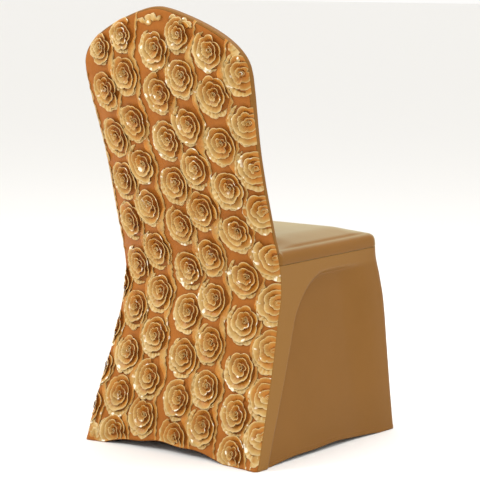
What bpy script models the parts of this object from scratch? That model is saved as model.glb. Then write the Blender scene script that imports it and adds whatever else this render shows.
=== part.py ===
"""A fitted stretch cover for a banquet chair, with ribbon rosettes on its back.

Metres, +Z up, origin on the floor under the middle of the cover. The sitter faces -Y, so the
rosette panel faces +Y and the sitter's right is -X. Each cut piece of cloth is a thin closed solid.
"""
import math

import bpy
import bmesh
from mathutils import Vector

# Heights of the cover, and the cloth itself
CROWN_Z = 0.925
SHOULDER_Z = 0.790
SEAT_SEAM_Z = 0.403
SEAT_EDGE_Z = 0.431
SEAT_CROWN = 0.012
SEAT_CROWN_REACH = 0.55
CLOTH = 0.0016
# Half the gap between two pieces along a seam
HALF_GAP = 0.0008
# The outer faces stop this far above the floor, so that the inner edges of leaning sheets do too
HEM_LIFT = 0.0006

# The rear corner line from floor to crown: height, how far back it lies, half the cover's width
REAR_PROFILE = (
    (0.000, 0.2304, 0.2318),
    (0.100, 0.1974, 0.2262),
    (0.200, 0.1614, 0.2170),
    (0.290, 0.1349, 0.2104),
    (0.350, 0.1224, 0.2090),
    (0.410, 0.1304, 0.2090),
    (0.470, 0.1484, 0.2070),
    (0.620, 0.1894, 0.2050),
    (0.780, 0.2334, 0.2156),
    (0.925, 0.2624, 0.2156),
)
# How far the middle of the back panel stands behind that line: height, bulge
REAR_BULGE = (
    (0.000, -0.012),
    (0.060, -0.007),
    (0.200, 0.012),
    (0.300, 0.024),
    (0.400, 0.028),
    (0.500, 0.026),
    (0.600, 0.020),
    (0.800, 0.016),
    (0.925, 0.010),
)
# Thickness of the back of the chair under the cloth: height, thickness
BACK_THICKNESS = ((0.425, 0.0184), (0.560, 0.0188), (0.750, 0.0225), (0.925, 0.025))
# Where the seam lies on the rounded rear corner: height, angle from the rear in degrees
SEAM_ANGLE = ((0.000, 62.0), (0.500, 62.0), (0.800, 30.0), (0.925, 26.0))
# The front corner line: height, how far forward, half the width, corner radius
FRONT_PROFILE = (
    (0.000, -0.2716, 0.2323, 0.016),
    (0.100, -0.2686, 0.2249, 0.018),
    (0.200, -0.2666, 0.2177, 0.020),
    (0.285, -0.2641, 0.2120, 0.024),
    (0.340, -0.2576, 0.2068, 0.026),
    (0.385, -0.2506, 0.2020, 0.028),
    (0.440, -0.2490, 0.2005, 0.028),
)

EDGE_RADIUS = 0.009
SEAM_HALF_ANGLE = math.degrees(HALF_GAP / EDGE_RADIUS)
FRONT_SEAM_ANGLE = 60.0
FRONT_SEAM_RADIUS = 0.018
FRONT_SEAM_HALF_ANGLE = math.degrees(HALF_GAP / FRONT_SEAM_RADIUS)
CROWN_POWER = 2.38
PEAK_ROUNDING = 0.12
CROWN_DOME = 0.15
PAD_BULGE = 0.010
PAD_START_Z = 0.45
PAD_FADE = 0.15

# Rows and columns of the grids, and how far the columns of a back bunch up towards its corners
LOWER_ROWS = 15
UPPER_ROWS = 10
BACK_COLUMNS = 16
COLUMN_BUNCHING = 0.7
SIDE_FIELD_STEPS = 5
FRONT_HALF_STEPS = 3
SEAT_SIDE_STEPS = 6
SEAT_FRONT_STEPS = 6
FRONT_ARC_STEP = 22.5
SHARP_ANGLE = 50.0

# Where seat, inside back and back panel meet, and how far above it each ring of the inside back
# starts, from its front face round to the seam behind
JUNCTION_Z = SEAT_EDGE_Z - 0.005
INSIDE_BACK_STARTS = (0.0054, 0.0048, 0.0035, 0.0018, 0.0)
# How far round from the rear seam the inside back's last ring but one lies
INSIDE_BACK_TURN = 0.35
SEAT_INSET = 0.015
SEAT_CORNER_STEP = 0.008
# The seat's rear ends stand off the back panel by so many half gaps
SEAT_REAR_GAP = 1.6
# Rings down the seat's edge: how far in from the outline, height, and where the ring ends at the
# rear: how far in (None: at the seam), how far behind the inside back's foot, height
SEAT_RINGS = (
    (0.0060, SEAT_EDGE_Z - 0.0034, 0.0060, 0.0012, JUNCTION_Z + 0.0047),
    (0.0015, SEAT_EDGE_Z - 0.0100, 0.0012, 0.0054, JUNCTION_Z + 0.0040),
    (0.0000, SEAT_EDGE_Z - 0.0180, None, None, JUNCTION_Z - 1.5 * HALF_GAP),
    (0.0000, SEAT_SEAM_Z + HALF_GAP, None, None, SEAT_SEAM_Z + HALF_GAP),
)

# The drawn-in field of a skirt between the legs: depth, the strip left beside each leg, the fold
SIDE_RECESS = 0.010
RECESS_FLOOR_SHARE = 0.55
RECESS_DEEP_Z = 0.25
FRONT_RECESS = 0.006
LEG_STRIP = 0.042
LEG_FOLD = 0.032
FRONT_STRIP = 0.018
FRONT_FOLD = 0.030
FRONT_PANEL_FOLD = 0.045
RECESS_TOP_Z = 0.388
RECESS_TOP_FOLD = 0.055
SKIRT_SEAM_Z = 0.2

# Hems, shallow arches between the feet: rise, unevenness and its turns, reach
REAR_HEM_RISE = 0.020
REAR_HEM_WAVE = 0.0022
REAR_HEM_TURNS = 9.0
REAR_HEM_START = 0.6
REAR_HEM_HALF = 0.160
REAR_HEM_SHIFT = 0.022
SKIRT_HEM_RISE = 0.009
SKIRT_HEM_WAVE = 0.0012
SKIRT_HEM_TURNS = 7.0
FOOT_FLAT = 0.045
HEM_POWER = 0.8

# Foot pockets: reach along each panel, height, distance to the panels, how far in the floor's
# inner ring lies, the rounding where the upstand meets the floor, and points along the rear panel
POCKET_LEG = 0.034
POCKET_RISE = 0.015
POCKET_OFFSET = 0.0026
POCKET_FLOOR_INSET = 0.0056
POCKET_ROUNDING = 0.0030
POCKET_ROUNDING_RISE = 0.0012
POCKET_REAR_SHARES = (1.0, 0.6)

# Rosettes: half width, half height, and the rings of one rosette as share of radius, height
ROSETTE_HALF_WIDTH = 0.0335
ROSETTE_HALF_HEIGHT = 0.0400
ROSETTE_SIDES = 8
ROSETTE_BASE = 0.0017
ROSETTE_RINGS = (
    (0.94, 0.0),
    (1.00, 0.0050),
    (0.80, 0.0038),
    (0.62, 0.0095),
    (0.34, 0.0070),
)
ROSETTE_BUD = 0.0125
SPIRAL_STEP = 0.10
SCALLOP = 0.05
RIM_SCALLOP = 0.02
TURN_PER_ROW = 2.4
TURN_ACROSS = 9.0
TAIL_HALF_WIDTH = 0.0045
TAIL_THICKNESS = 0.0018
TAIL_STEPS = 3
TAIL_SWAY = 0.004
# What the seam and the hem take of the rosettes
SEAM_TURN = 0.0070
HEM_TURN = 0.003

# Heights of the rosette rows that an unshifted column takes, from the top
ROW_Z = (0.843, 0.754, 0.657, 0.567, 0.480, 0.384, 0.292, 0.200, 0.112, 0.034)
# Columns from the sitter's left: share of the half width at the top and at the floor, shift from
# the rows at the top and at the floor, first and last row, size of the first rosette as a share of
# the rest, how far it hangs below its row, and the side on which a seam cuts the column
COLUMNS = (
    ("rosette_column_1", (1.030, 1.030), (0.040, 0.040), (6, 9), 1.00, 0.000, 1),
    ("rosette_column_2", (0.725, 0.700), (0.001, -0.011), (0, 9), 0.74, 0.004, 0),
    ("rosette_column_3", (0.425, 0.375), (0.034, 0.034), (0, 9), 0.74, 0.012, 0),
    ("rosette_column_4", (0.020, -0.010), (-0.002, 0.001), (0, 9), 1.00, 0.000, 0),
    ("rosette_column_5", (-0.265, -0.325), (0.034, 0.034), (0, 9), 0.78, 0.006, 0),
    ("rosette_column_6", (-0.605, -0.700), (0.000, -0.012), (0, 9), 0.90, 0.003, 0),
    ("rosette_column_7", (-0.920, -0.990), (0.044, 0.028), (1, 9), 1.00, 0.000, -1),
)

# Colour, roughness of each cloth
GROUND = ((0.48, 0.155, 0.030), 0.42)
RIBBON = ((0.62, 0.42, 0.175), 0.38)
PLAIN = ((0.36, 0.20, 0.070), 0.62)


def curve(table, column, height):
    """A smooth curve through one column of a table whose first column is the height."""
    heights = [row[0] for row in table]
    values = [row[column] for row in table]
    last = len(heights) - 1
    z = min(max(height, heights[0]), heights[last])
    i = 0
    while i < last - 1 and z > heights[i + 1]:
        i += 1

    def slope(k):
        low = max(k - 1, 0)
        high = min(k + 1, last)
        return (values[high] - values[low]) / (heights[high] - heights[low])

    span = heights[i + 1] - heights[i]
    t = (z - heights[i]) / span
    start = (2 * t**3 - 3 * t**2 + 1) * values[i] + (t**3 - 2 * t**2 + t) * span * slope(i)
    end = (3 * t**2 - 2 * t**3) * values[i + 1] + (t**3 - t**2) * span * slope(i + 1)
    return start + end


def ease(t):
    """0 to 1 with level ends."""
    t = min(max(t, 0.0), 1.0)
    return t * t * (3 - 2 * t)


def dome(t):
    """0 to 1, rising at once and level at its end, like cloth over a padded edge."""
    t = min(max(t, 0.0), 1.0)
    return 1 - (1 - t) ** 2


def rear_line(z):
    return curve(REAR_PROFILE, 1, z)


def half_width(z):
    return curve(REAR_PROFILE, 2, min(z, SHOULDER_Z))


def crown_edge(x):
    """Height of the crown's outline above a point across the back."""
    across = min(abs(x) / half_width(SHOULDER_Z), 1.0)
    peak = PEAK_ROUNDING
    across = (math.hypot(across, peak) - peak) / (math.hypot(1.0, peak) - peak)
    share = max(1 - across, 0.0) ** (1 / CROWN_POWER)
    return SHOULDER_Z + (CROWN_Z - SHOULDER_Z) * share


def rear_face(x, z):
    """The back panel's outer face."""
    across = min(abs(x) / (half_width(z) - EDGE_RADIUS), 1.0)
    below_edge = crown_edge(x) - z - EDGE_RADIUS
    bulge = curve(REAR_BULGE, 1, z) * (1 - across**3)
    return rear_line(z) + bulge * dome(below_edge / CROWN_DOME)


def front_face(x, z):
    """The outer face of the inside back, with its padded middle."""
    across = min(abs(x) / (half_width(z) - EDGE_RADIUS), 1.0)
    below_edge = crown_edge(x) - z - EDGE_RADIUS
    pad = PAD_BULGE * (1 - across**3) * ease((z - PAD_START_Z) / PAD_FADE)
    return rear_line(z) - curve(BACK_THICKNESS, 1, z) - pad * dome(below_edge / CROWN_DOME)


def column_shares(count):
    """Positions across a panel from -1 to 1, closer together at the corners."""
    shares = []
    for i in range(count + 1):
        even = 2 * i / count - 1
        bunched = math.sin(even * math.pi / 2)
        shares.append(COLUMN_BUNCHING * bunched + (1 - COLUMN_BUNCHING) * even)
    return shares


def back_outline(side_heights, columns):
    """Outline of the back seen from behind, from -X up, over the crown and down at +X.

    Each place is (x, z) and the outward direction there.
    """
    left = [((-half_width(z), z), (-1.0, 0.0)) for z in side_heights]
    top = []
    step = 0.002
    shoulder = half_width(SHOULDER_Z)
    for share in column_shares(columns)[1:-1]:
        x = share * shoulder
        rise = (crown_edge(x + step) - crown_edge(x - step)) / (2 * step)
        length = math.hypot(rise, 1.0)
        top.append(((x, crown_edge(x)), (-rise / length, 1.0 / length)))
    right = [((-place[0], place[1]), (1.0, 0.0)) for place, _ in reversed(left)]
    return left + top + right


def inset(place, direction, distance):
    return (place[0] - direction[0] * distance, place[1] - direction[1] * distance)


def filled_grid(bottom, top, left, right):
    """Points of a grid inside four border curves, as rows from bottom to top."""
    rows = len(left) - 1
    columns = len(bottom) - 1
    grid = []
    for r in range(rows + 1):
        v = r / rows
        line = []
        for c in range(columns + 1):
            u = c / columns
            point = []
            for axis in range(len(bottom[0])):
                edges = (1 - v) * bottom[c][axis] + v * top[c][axis]
                edges += (1 - u) * left[r][axis] + u * right[r][axis]
                corners = (1 - u) * (1 - v) * bottom[0][axis] + u * (1 - v) * bottom[columns][axis]
                corners += (1 - u) * v * top[0][axis] + u * v * top[columns][axis]
                point.append(edges - corners)
            line.append(tuple(point))
        grid.append(line)
    return grid


def border_path(grid):
    """Index pairs of a grid's border: left side up, top row, right side down."""
    rows = len(grid) - 1
    columns = len(grid[0]) - 1
    path = [(r, 0) for r in range(rows + 1)]
    path += [(rows, c) for c in range(1, columns)]
    path += [(r, columns) for r in range(rows, -1, -1)]
    return path


def cloth_material(name, look):
    colour, roughness = look
    material = bpy.data.materials.new(name)
    material.use_nodes = True
    shader = material.node_tree.nodes["Principled BSDF"]
    shader.inputs["Base Color"].default_value = (*colour, 1.0)
    shader.inputs["Roughness"].default_value = roughness
    shader.inputs["Metallic"].default_value = 0.0
    material.diffuse_color = (*colour, 1.0)
    return material


def add_object(name, mesh_data, look):
    mesh = bpy.data.meshes.new(name)
    mesh_data.to_mesh(mesh)
    mesh_data.free()
    mesh.shade_smooth()
    mesh.set_sharp_from_angle(angle=math.radians(SHARP_ANGLE))
    mesh.materials.append(cloth_material(name, look))
    obj = bpy.data.objects.new(name, mesh)
    bpy.context.scene.collection.objects.link(obj)
    return obj


def add_cloth(name, grid, rings, facing, look):
    """A thin sheet from a grid of points and the rings laid round three of its sides."""
    bm = bmesh.new()
    vertices = [[bm.verts.new(point) for point in row] for row in grid]
    for r in range(len(grid) - 1):
        for c in range(len(grid[0]) - 1):
            low, high = vertices[r], vertices[r + 1]
            bm.faces.new((low[c], low[c + 1], high[c + 1], high[c]))
    inner = [vertices[r][c] for r, c in border_path(grid)]
    for ring in rings:
        outer = [bm.verts.new(point) for point in ring]
        for i in range(len(ring) - 1):
            bm.faces.new((inner[i], inner[i + 1], outer[i + 1], outer[i]))
        inner = outer
    bm.normal_update()
    lean = sum((face.normal * face.calc_area() for face in bm.faces), Vector())
    if lean.dot(Vector(facing)) < 0:
        bmesh.ops.reverse_faces(bm, faces=bm.faces)
    obj = add_object(name, bm, look)
    solidify = obj.modifiers.new("thickness", "SOLIDIFY")
    solidify.thickness = CLOTH
    solidify.offset = -1.0
    return obj


def rear_rounding(place, direction, angle):
    """A point on the rounded rear edge, from 0 (facing back) to 90 degrees (facing out)."""
    turn = math.radians(angle)
    x, z = inset(place, direction, EDGE_RADIUS * (1 - math.sin(turn)))
    return (x, rear_line(z) - EDGE_RADIUS * (1 - math.cos(turn)), z)


def front_rounding(place, direction, angle):
    """The same on the front edge of the back."""
    turn = math.radians(angle)
    x, z = inset(place, direction, EDGE_RADIUS * (1 - math.sin(turn)))
    front = rear_line(z) - curve(BACK_THICKNESS, 1, z)
    return (x, front + EDGE_RADIUS * (1 - math.cos(turn)), z)


def rear_hem(x):
    """Height of the back panel's hem, a shallow uneven arch between the feet."""
    along = (x - REAR_HEM_SHIFT) / REAR_HEM_HALF
    if abs(along) >= 1:
        return HEM_LIFT
    wave = REAR_HEM_WAVE * math.sin(along * REAR_HEM_TURNS + REAR_HEM_START) * (1 - along * along)
    return max(REAR_HEM_RISE * (1 - along * along) ** HEM_POWER + wave, HEM_LIFT)


def heights_between(low, high, steps):
    return [low + (high - low) * i / steps for i in range(steps + 1)]


def back_panel():
    """The rosette ground: one cloth from the floor to the crown."""
    heights = heights_between(HEM_LIFT, SEAT_SEAM_Z, LOWER_ROWS)
    heights += heights_between(JUNCTION_Z, SHOULDER_Z, UPPER_ROWS)
    outline = back_outline(heights, BACK_COLUMNS)
    border = [inset(place, direction, EDGE_RADIUS) for place, direction in outline]
    rows = len(heights)
    left = border[:rows]
    top = border[rows - 1:-rows + 1]
    right = border[-rows:][::-1]
    floor_half = half_width(0.0) - EDGE_RADIUS
    bottom = []
    for share in column_shares(BACK_COLUMNS):
        bottom.append((share * floor_half, rear_hem(share * floor_half)))
    flat = filled_grid(bottom, top, left, right)
    grid = [[(x, rear_face(x, z), z) for x, z in line] for line in flat]
    rings = []
    for share in (0.5, 1.0):
        ring = []
        for place, direction in outline:
            seam = curve(SEAM_ANGLE, 1, place[1]) - SEAM_HALF_ANGLE
            ring.append(rear_rounding(place, direction, seam * share))
        rings.append(ring)
    return add_cloth("back_panel", grid, rings, (0, 1, 0), GROUND)


def inside_back():
    """The front of the back, turned over its sides and top to the seam behind."""
    rows = UPPER_ROWS + 1
    outlines = []
    for start in INSIDE_BACK_STARTS:
        heights = heights_between(JUNCTION_Z + start + HALF_GAP, SHOULDER_Z, UPPER_ROWS)
        outlines.append(back_outline(heights, BACK_COLUMNS))
    border = [inset(place, direction, EDGE_RADIUS) for place, direction in outlines[0]]
    left = border[:rows]
    top = border[rows - 1:-rows + 1]
    right = border[-rows:][::-1]
    bottom = [(share * -left[0][0], left[0][1]) for share in column_shares(BACK_COLUMNS)]
    flat = filled_grid(bottom, top, left, right)
    grid = [[(x, front_face(x, z), z) for x, z in line] for line in flat]
    rings = [
        [front_rounding(place, direction, 45.0) for place, direction in outlines[1]],
        [front_rounding(place, direction, 90.0) for place, direction in outlines[2]],
    ]
    for outline, share in ((outlines[3], INSIDE_BACK_TURN), (outlines[4], 0.0)):
        ring = []
        for place, direction in outline:
            seam = curve(SEAM_ANGLE, 1, place[1]) + SEAM_HALF_ANGLE
            ring.append(rear_rounding(place, direction, seam + (90.0 - seam) * share))
        rings.append(ring)
    return add_cloth("inside_back", grid, rings, (0, -1, 0), PLAIN)


def front_corner(z):
    """Front line, half width and corner radius at a height."""
    return curve(FRONT_PROFILE, 1, z), curve(FRONT_PROFILE, 2, z), curve(FRONT_PROFILE, 3, z)


def side_recess(forward, length, z):
    """How far a side skirt is drawn in, so far forward of the rear corner."""
    field = ease((forward - LEG_STRIP) / LEG_FOLD) * ease((length - forward - FRONT_STRIP) / FRONT_FOLD)
    depth = SIDE_RECESS * (RECESS_FLOOR_SHARE + (1 - RECESS_FLOOR_SHARE) * ease(z / RECESS_DEEP_Z))
    return depth * field * ease((RECESS_TOP_Z - z) / RECESS_TOP_FOLD)


def front_recess(x, half, z):
    field = ease((half - abs(x) - LEG_STRIP) / FRONT_PANEL_FOLD)
    return FRONT_RECESS * field * ease((RECESS_TOP_Z - z) / RECESS_TOP_FOLD)


def side_point(forward, z):
    """Outer face of the right-hand plan outline, so far forward of the rear rounding."""
    front, front_half, radius = front_corner(z)
    start = rear_line(z) - EDGE_RADIUS
    length = start - (front + radius)
    share = forward / length
    x = half_width(z) + (front_half - half_width(z)) * share
    return (x - side_recess(forward, length, z), start - forward)


def side_length(z):
    front, _, radius = front_corner(z)
    return rear_line(z) - EDGE_RADIUS - (front + radius)


def front_arc(angle, z, inward=0.0):
    """The rounded front corner, from 0 (facing out) to 90 degrees (facing forward)."""
    front, front_half, radius = front_corner(z)
    turn = math.radians(angle)
    reach = radius - inward
    return (front_half - radius + reach * math.cos(turn), front + radius - reach * math.sin(turn))


def skirt_hem(forward, length):
    """Height of a skirt's hem, an arch between the feet."""
    along = (2 * forward - length) / (length - 2 * FOOT_FLAT)
    if abs(along) >= 1:
        return HEM_LIFT
    wave = SKIRT_HEM_WAVE * math.sin(along * SKIRT_HEM_TURNS) * (1 - along * along)
    return max(SKIRT_HEM_RISE * (1 - along * along) ** HEM_POWER + wave, HEM_LIFT)


def skirt_heights(hem):
    """Heights of a skirt's rows above a hem, up to just under the seat seam."""
    return heights_between(hem, SEAT_SEAM_Z - HALF_GAP, LOWER_ROWS)


def side_skirt(name, side):
    """A plain side from the rear seam to the seam on the front corner."""
    floor_length = side_length(0.0)
    columns = []
    rear_turns = (curve(SEAM_ANGLE, 1, SKIRT_SEAM_Z) + SEAM_HALF_ANGLE, 90.0)
    for angle in rear_turns:
        line = []
        for z in skirt_heights(HEM_LIFT):
            line.append(rear_rounding((half_width(z), z), (1.0, 0.0), angle))
        columns.append(line)
    field_start = LEG_STRIP + LEG_FOLD
    field_length = floor_length - FRONT_STRIP - FRONT_FOLD - field_start
    places = [LEG_STRIP / 2, LEG_STRIP, LEG_STRIP + LEG_FOLD / 2]
    for i in range(SIDE_FIELD_STEPS + 1):
        places.append(field_start + field_length * i / SIDE_FIELD_STEPS)
    places += [floor_length - FRONT_STRIP, floor_length]
    for place in places:
        line = []
        for z in skirt_heights(skirt_hem(place, floor_length)):
            # The near places keep their distance from the rear leg, the far ones from the front
            share = ease((place - field_start) / field_length)
            forward = place + share * (side_length(z) - floor_length)
            x, y = side_point(forward, z)
            line.append((x, y, z))
        columns.append(line)
    for angle in (FRONT_SEAM_ANGLE / 2, FRONT_SEAM_ANGLE - FRONT_SEAM_HALF_ANGLE):
        columns.append([(*front_arc(angle, z), z) for z in skirt_heights(HEM_LIFT)])
    grid = [[(side * p[0], p[1], p[2]) for p in line] for line in columns]
    return add_cloth(name, grid, [], (side, 0, 0), PLAIN)


def front_skirt():
    """The plain front under the seat, between the seams on the front corners."""
    half_columns = []
    for angle in (FRONT_SEAM_ANGLE + FRONT_SEAM_HALF_ANGLE, 90.0):
        half_columns.append([(*front_arc(angle, z), z) for z in skirt_heights(HEM_LIFT)])
    _, floor_half, floor_radius = front_corner(0.0)
    strip_share = 1 - LEG_STRIP / (floor_half - floor_radius)
    for i in range(FRONT_HALF_STEPS + 1):
        share = strip_share * (1 - i / FRONT_HALF_STEPS)
        line = []
        place = share * (floor_half - floor_radius)
        for z in skirt_heights(skirt_hem(floor_half - place, 2 * floor_half)):
            front, half, radius = front_corner(z)
            x = share * (half - radius)
            line.append((x, front + front_recess(x, half - radius, z), z))
        half_columns.append(line)
    columns = half_columns + [[(-x, y, z) for x, y, z in line] for line in half_columns[-2::-1]]
    return add_cloth("front_skirt", columns, [], (0, -1, 0), PLAIN)


def seat_outline(z, inward):
    """Seat's plan outline at one height, from -X rear, round the front, to +X rear.

    Gives the path from the rear to the middle of each front arc as its sides.
    """
    front, front_half, radius = front_corner(z)
    rear_y = rear_line(SEAT_EDGE_Z) - curve(BACK_THICKNESS, 1, SEAT_EDGE_Z)
    side_ys = [rear_y, rear_y - SEAT_CORNER_STEP]
    for i in range(1, SEAT_SIDE_STEPS + 1):
        side_ys.append(rear_y + (front + radius - rear_y) * i / SEAT_SIDE_STEPS)
    right = []
    for y in side_ys:
        share = (rear_line(z) - EDGE_RADIUS - y) / side_length(z)
        x = half_width(z) + (front_half - half_width(z)) * share
        right.append((x - inward, y))
    right += [front_arc(angle, z, inward) for angle in (FRONT_ARC_STEP, 2 * FRONT_ARC_STEP)]
    end = front_arc(90.0, z, inward)
    front_row = [front_arc(step * FRONT_ARC_STEP, z, inward) for step in (2, 3)]
    for i in range(SEAT_FRONT_STEPS + 1):
        front_row.append((end[0] * (1 - 2 * i / SEAT_FRONT_STEPS), end[1]))
    mirrored = [(-x, y) for x, y in front_row[1::-1]]
    front_row += mirrored
    return right, front_row


def seat_panel():
    """The seat's top and its turned-down edge, down to the thin seam."""
    right, front_row = seat_outline(SEAT_EDGE_Z, SEAT_INSET)
    left = [(-x, y) for x, y in right]
    # Rows run from rear to front, columns from +X to -X
    rear_half = right[0][0]
    columns = len(front_row) - 1
    rear_row = []
    for place in front_row:
        rear_row.append((place[0] * rear_half / front_row[0][0], right[0][1]))
    flat = filled_grid(rear_row, front_row, right, left)
    rows = len(flat) - 1
    grid = []
    for r, line in enumerate(flat):
        heights = []
        for c, (x, y) in enumerate(line):
            across = min(c, columns - c) / (columns / 2)
            along = min(r, rows - r) / (rows / 2)
            crown = SEAT_CROWN * ease(across / SEAT_CROWN_REACH) * ease(along / SEAT_CROWN_REACH)
            heights.append((x, y, SEAT_EDGE_Z + crown))
        grid.append(heights)
    seam_turn = math.radians(curve(SEAM_ANGLE, 1, JUNCTION_Z) + SEAT_REAR_GAP * SEAM_HALF_ANGLE)
    rings = []
    for inward, height, end_in, end_back, end_z in SEAT_RINGS:
        side, front_edge = seat_outline(height, inward)
        if end_in is None:
            end_in = EDGE_RADIUS * (1 - math.sin(seam_turn))
            end_y = rear_line(end_z) - EDGE_RADIUS * (1 - math.cos(seam_turn))
        else:
            end_y = right[0][1] + end_back
        end = (half_width(end_z) - end_in, end_y, end_z)
        middle = [(x, y, height) for x, y in side[1:] + front_edge[1:-1]]
        middle += [(-x, y, height) for x, y in side[:0:-1]]
        rings.append([end] + middle + [(-end[0], end[1], end[2])])
    return add_cloth("seat_panel", grid, rings, (0, 0, 1), PLAIN)


def foot_pocket(name, side, rear):
    """A small cup of cloth in a corner of the hem: a floor and an upstand inside two panels."""

    def corner_path(z, inward, reach):
        points = []
        if rear:
            radius = EDGE_RADIUS
            centre = (half_width(z) - radius, rear_line(z) - radius)
            for share in POCKET_REAR_SHARES:
                x = half_width(z) - radius - (reach - radius) * share
                points.append((x, rear_face(x, z) - inward))
            for angle in (0.0, 45.0, 90.0):
                turn = math.radians(angle)
                spread = radius - inward
                points.append((centre[0] + spread * math.sin(turn), centre[1] + spread * math.cos(turn)))
            x, y = side_point(reach - radius, z)
            points.append((x - inward, y))
        else:
            front, front_half, radius = front_corner(z)
            x, y = side_point(side_length(z) - reach + radius, z)
            points.append((x - inward, y))
            points += [front_arc(angle, z, inward) for angle in (0.0, 45.0, 90.0)]
            points.append((front_half - reach, front + inward))
        return points

    inner = POCKET_OFFSET + CLOTH
    floor_edge = (POCKET_OFFSET + POCKET_FLOOR_INSET, POCKET_LEG - POCKET_FLOOR_INSET)
    rounding_z = CLOTH + POCKET_ROUNDING_RISE
    # The L-shaped section of floor and upstand: height, and the path that the corner takes
    section = (
        (0.0, corner_path(0.0, *floor_edge)),
        (0.0, corner_path(0.0, POCKET_OFFSET, POCKET_LEG)),
        (POCKET_RISE, corner_path(POCKET_RISE, POCKET_OFFSET, POCKET_LEG)),
        (POCKET_RISE, corner_path(POCKET_RISE, inner, POCKET_LEG)),
        (rounding_z, corner_path(rounding_z, inner, POCKET_LEG)),
        (CLOTH, corner_path(0.0, inner + POCKET_ROUNDING, POCKET_LEG)),
        (CLOTH, corner_path(0.0, *floor_edge)),
    )
    bm = bmesh.new()
    lines = [[bm.verts.new((side * x, y, z)) for x, y in path] for z, path in section]
    steps = len(lines[0]) - 1
    for low, high in zip(lines, lines[1:]):
        for i in range(steps):
            bm.faces.new((low[i], low[i + 1], high[i + 1], high[i]))
    middle = (lines[0][0].co + lines[0][steps].co) / 2
    below = bm.verts.new(middle)
    above = bm.verts.new(middle + Vector((0, 0, CLOTH)))
    for i in range(steps):
        bm.faces.new((below, lines[0][i + 1], lines[0][i]))
        bm.faces.new((above, lines[-1][i], lines[-1][i + 1]))
    for end in (0, steps):
        section = [line[end] for line in lines]
        bm.faces.new((section[0], section[1], section[5], section[6]))
        bm.faces.new((section[1], section[4], section[5]))
        bm.faces.new(section[1:5])
        bm.faces.new((below, section[0], section[6], above))
    bmesh.ops.recalc_face_normals(bm, faces=bm.faces)
    return add_object(name, bm, PLAIN)


def on_back(across, z, lift):
    """A point so far off the back panel. Near its edges the ribbon turns with the cloth."""
    step = 0.004
    place = Vector((across, rear_face(across, z), z))
    du = (rear_face(across + step, z) - rear_face(across - step, z)) / (2 * step)
    dv = (rear_face(across, z + step) - rear_face(across, z - step)) / (2 * step)
    normal = Vector((-du, 1.0, -dv)).normalized()
    return place + normal * lift


def add_rosette(bm, turn, centre_z, size, cut_side):
    """One rosette in its column's flat frame (across, up, lift). Gives its upper and lower opening.

    The openings take the ribbon. On a column that a seam cuts they lie away from the seam.
    """
    sides = ROSETTE_SIDES
    rings = []
    for ring_number, (share, height) in enumerate(ROSETTE_RINGS):
        line = []
        for k in range(sides):
            angle = 2 * math.pi * k / sides + math.pi / sides
            swirl = ((angle + turn) / (2 * math.pi)) % 1.0 - 0.5
            wave = math.cos(4 * (angle + turn))
            if ring_number > 1:
                grow = 1.0 + SPIRAL_STEP * swirl + SCALLOP * wave
            else:
                grow = 1.0 + RIM_SCALLOP * wave
            radius = share * grow * size
            across = radius * ROSETTE_HALF_WIDTH * math.cos(angle)
            up = radius * ROSETTE_HALF_HEIGHT * math.sin(angle)
            line.append(bm.verts.new((across, centre_z + up, ROSETTE_BASE + height)))
        rings.append(line)
    foot = bm.verts.new((0.0, centre_z, ROSETTE_BASE))
    bud = bm.verts.new((0.0, centre_z, ROSETTE_BASE + ROSETTE_BUD))
    upper = sides // 4 - 1 + cut_side
    lower = 3 * sides // 4 - 1 - cut_side
    skip = (upper, upper + 1), (lower, lower + 1)
    for k in range(sides):
        after = (k + 1) % sides
        bm.faces.new((foot, rings[0][after], rings[0][k]))
        for inner in range(len(rings) - 1):
            is_rim = inner == 0 and (k, after) in skip
            if not is_rim:
                low, high = rings[inner], rings[inner + 1]
                bm.faces.new((low[k], low[after], high[after], high[k]))
        bm.faces.new((rings[-1][k], rings[-1][after], bud))
    ends = []
    for k, after in skip:
        ends.append((rings[0][k], rings[0][after], rings[1][after], rings[1][k]))
    return ends


def link(bm, lower, upper, sway):
    """A ribbon tail between the open rims of two rosettes of a column."""
    # lower is the top opening of the rosette below, upper the bottom opening of the one above
    start = list(lower)
    end = [upper[1], upper[0], upper[3], upper[2]]
    previous = start
    for step in range(1, TAIL_STEPS):
        t = step / TAIL_STEPS
        middle = sum((v.co for v in start), Vector()) / 4 * (1 - t)
        middle += sum((v.co for v in end), Vector()) / 4 * t
        shift = sway * math.sin(math.pi * t)
        section = []
        for side, top in ((1, 0), (-1, 0), (-1, 1), (1, 1)):
            lift = ROSETTE_BASE + TAIL_THICKNESS * top
            section.append(bm.verts.new((middle.x + shift + side * TAIL_HALF_WIDTH, middle.y, lift)))
        join(bm, previous, section)
        previous = section
    join(bm, previous, end)


def join(bm, first, second):
    for i in range(4):
        j = (i + 1) % 4
        bm.faces.new((first[j], first[i], second[i], second[j]))


def cut_away(bm, place, direction):
    """Cuts a closed body by a plane and closes it again, keeping what lies against the direction."""
    geometry = bm.verts[:] + bm.edges[:] + bm.faces[:]
    bmesh.ops.bisect_plane(
        bm, geom=geometry, dist=1e-6, plane_co=place, plane_no=direction, clear_outer=True
    )
    border = [edge for edge in bm.edges if edge.is_boundary]
    bmesh.ops.holes_fill(bm, edges=border, sides=0)


def between(ends, z):
    """A value between a column's top and its foot."""
    return ends[1] + (ends[0] - ends[1]) * z / ROW_Z[0]


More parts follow.
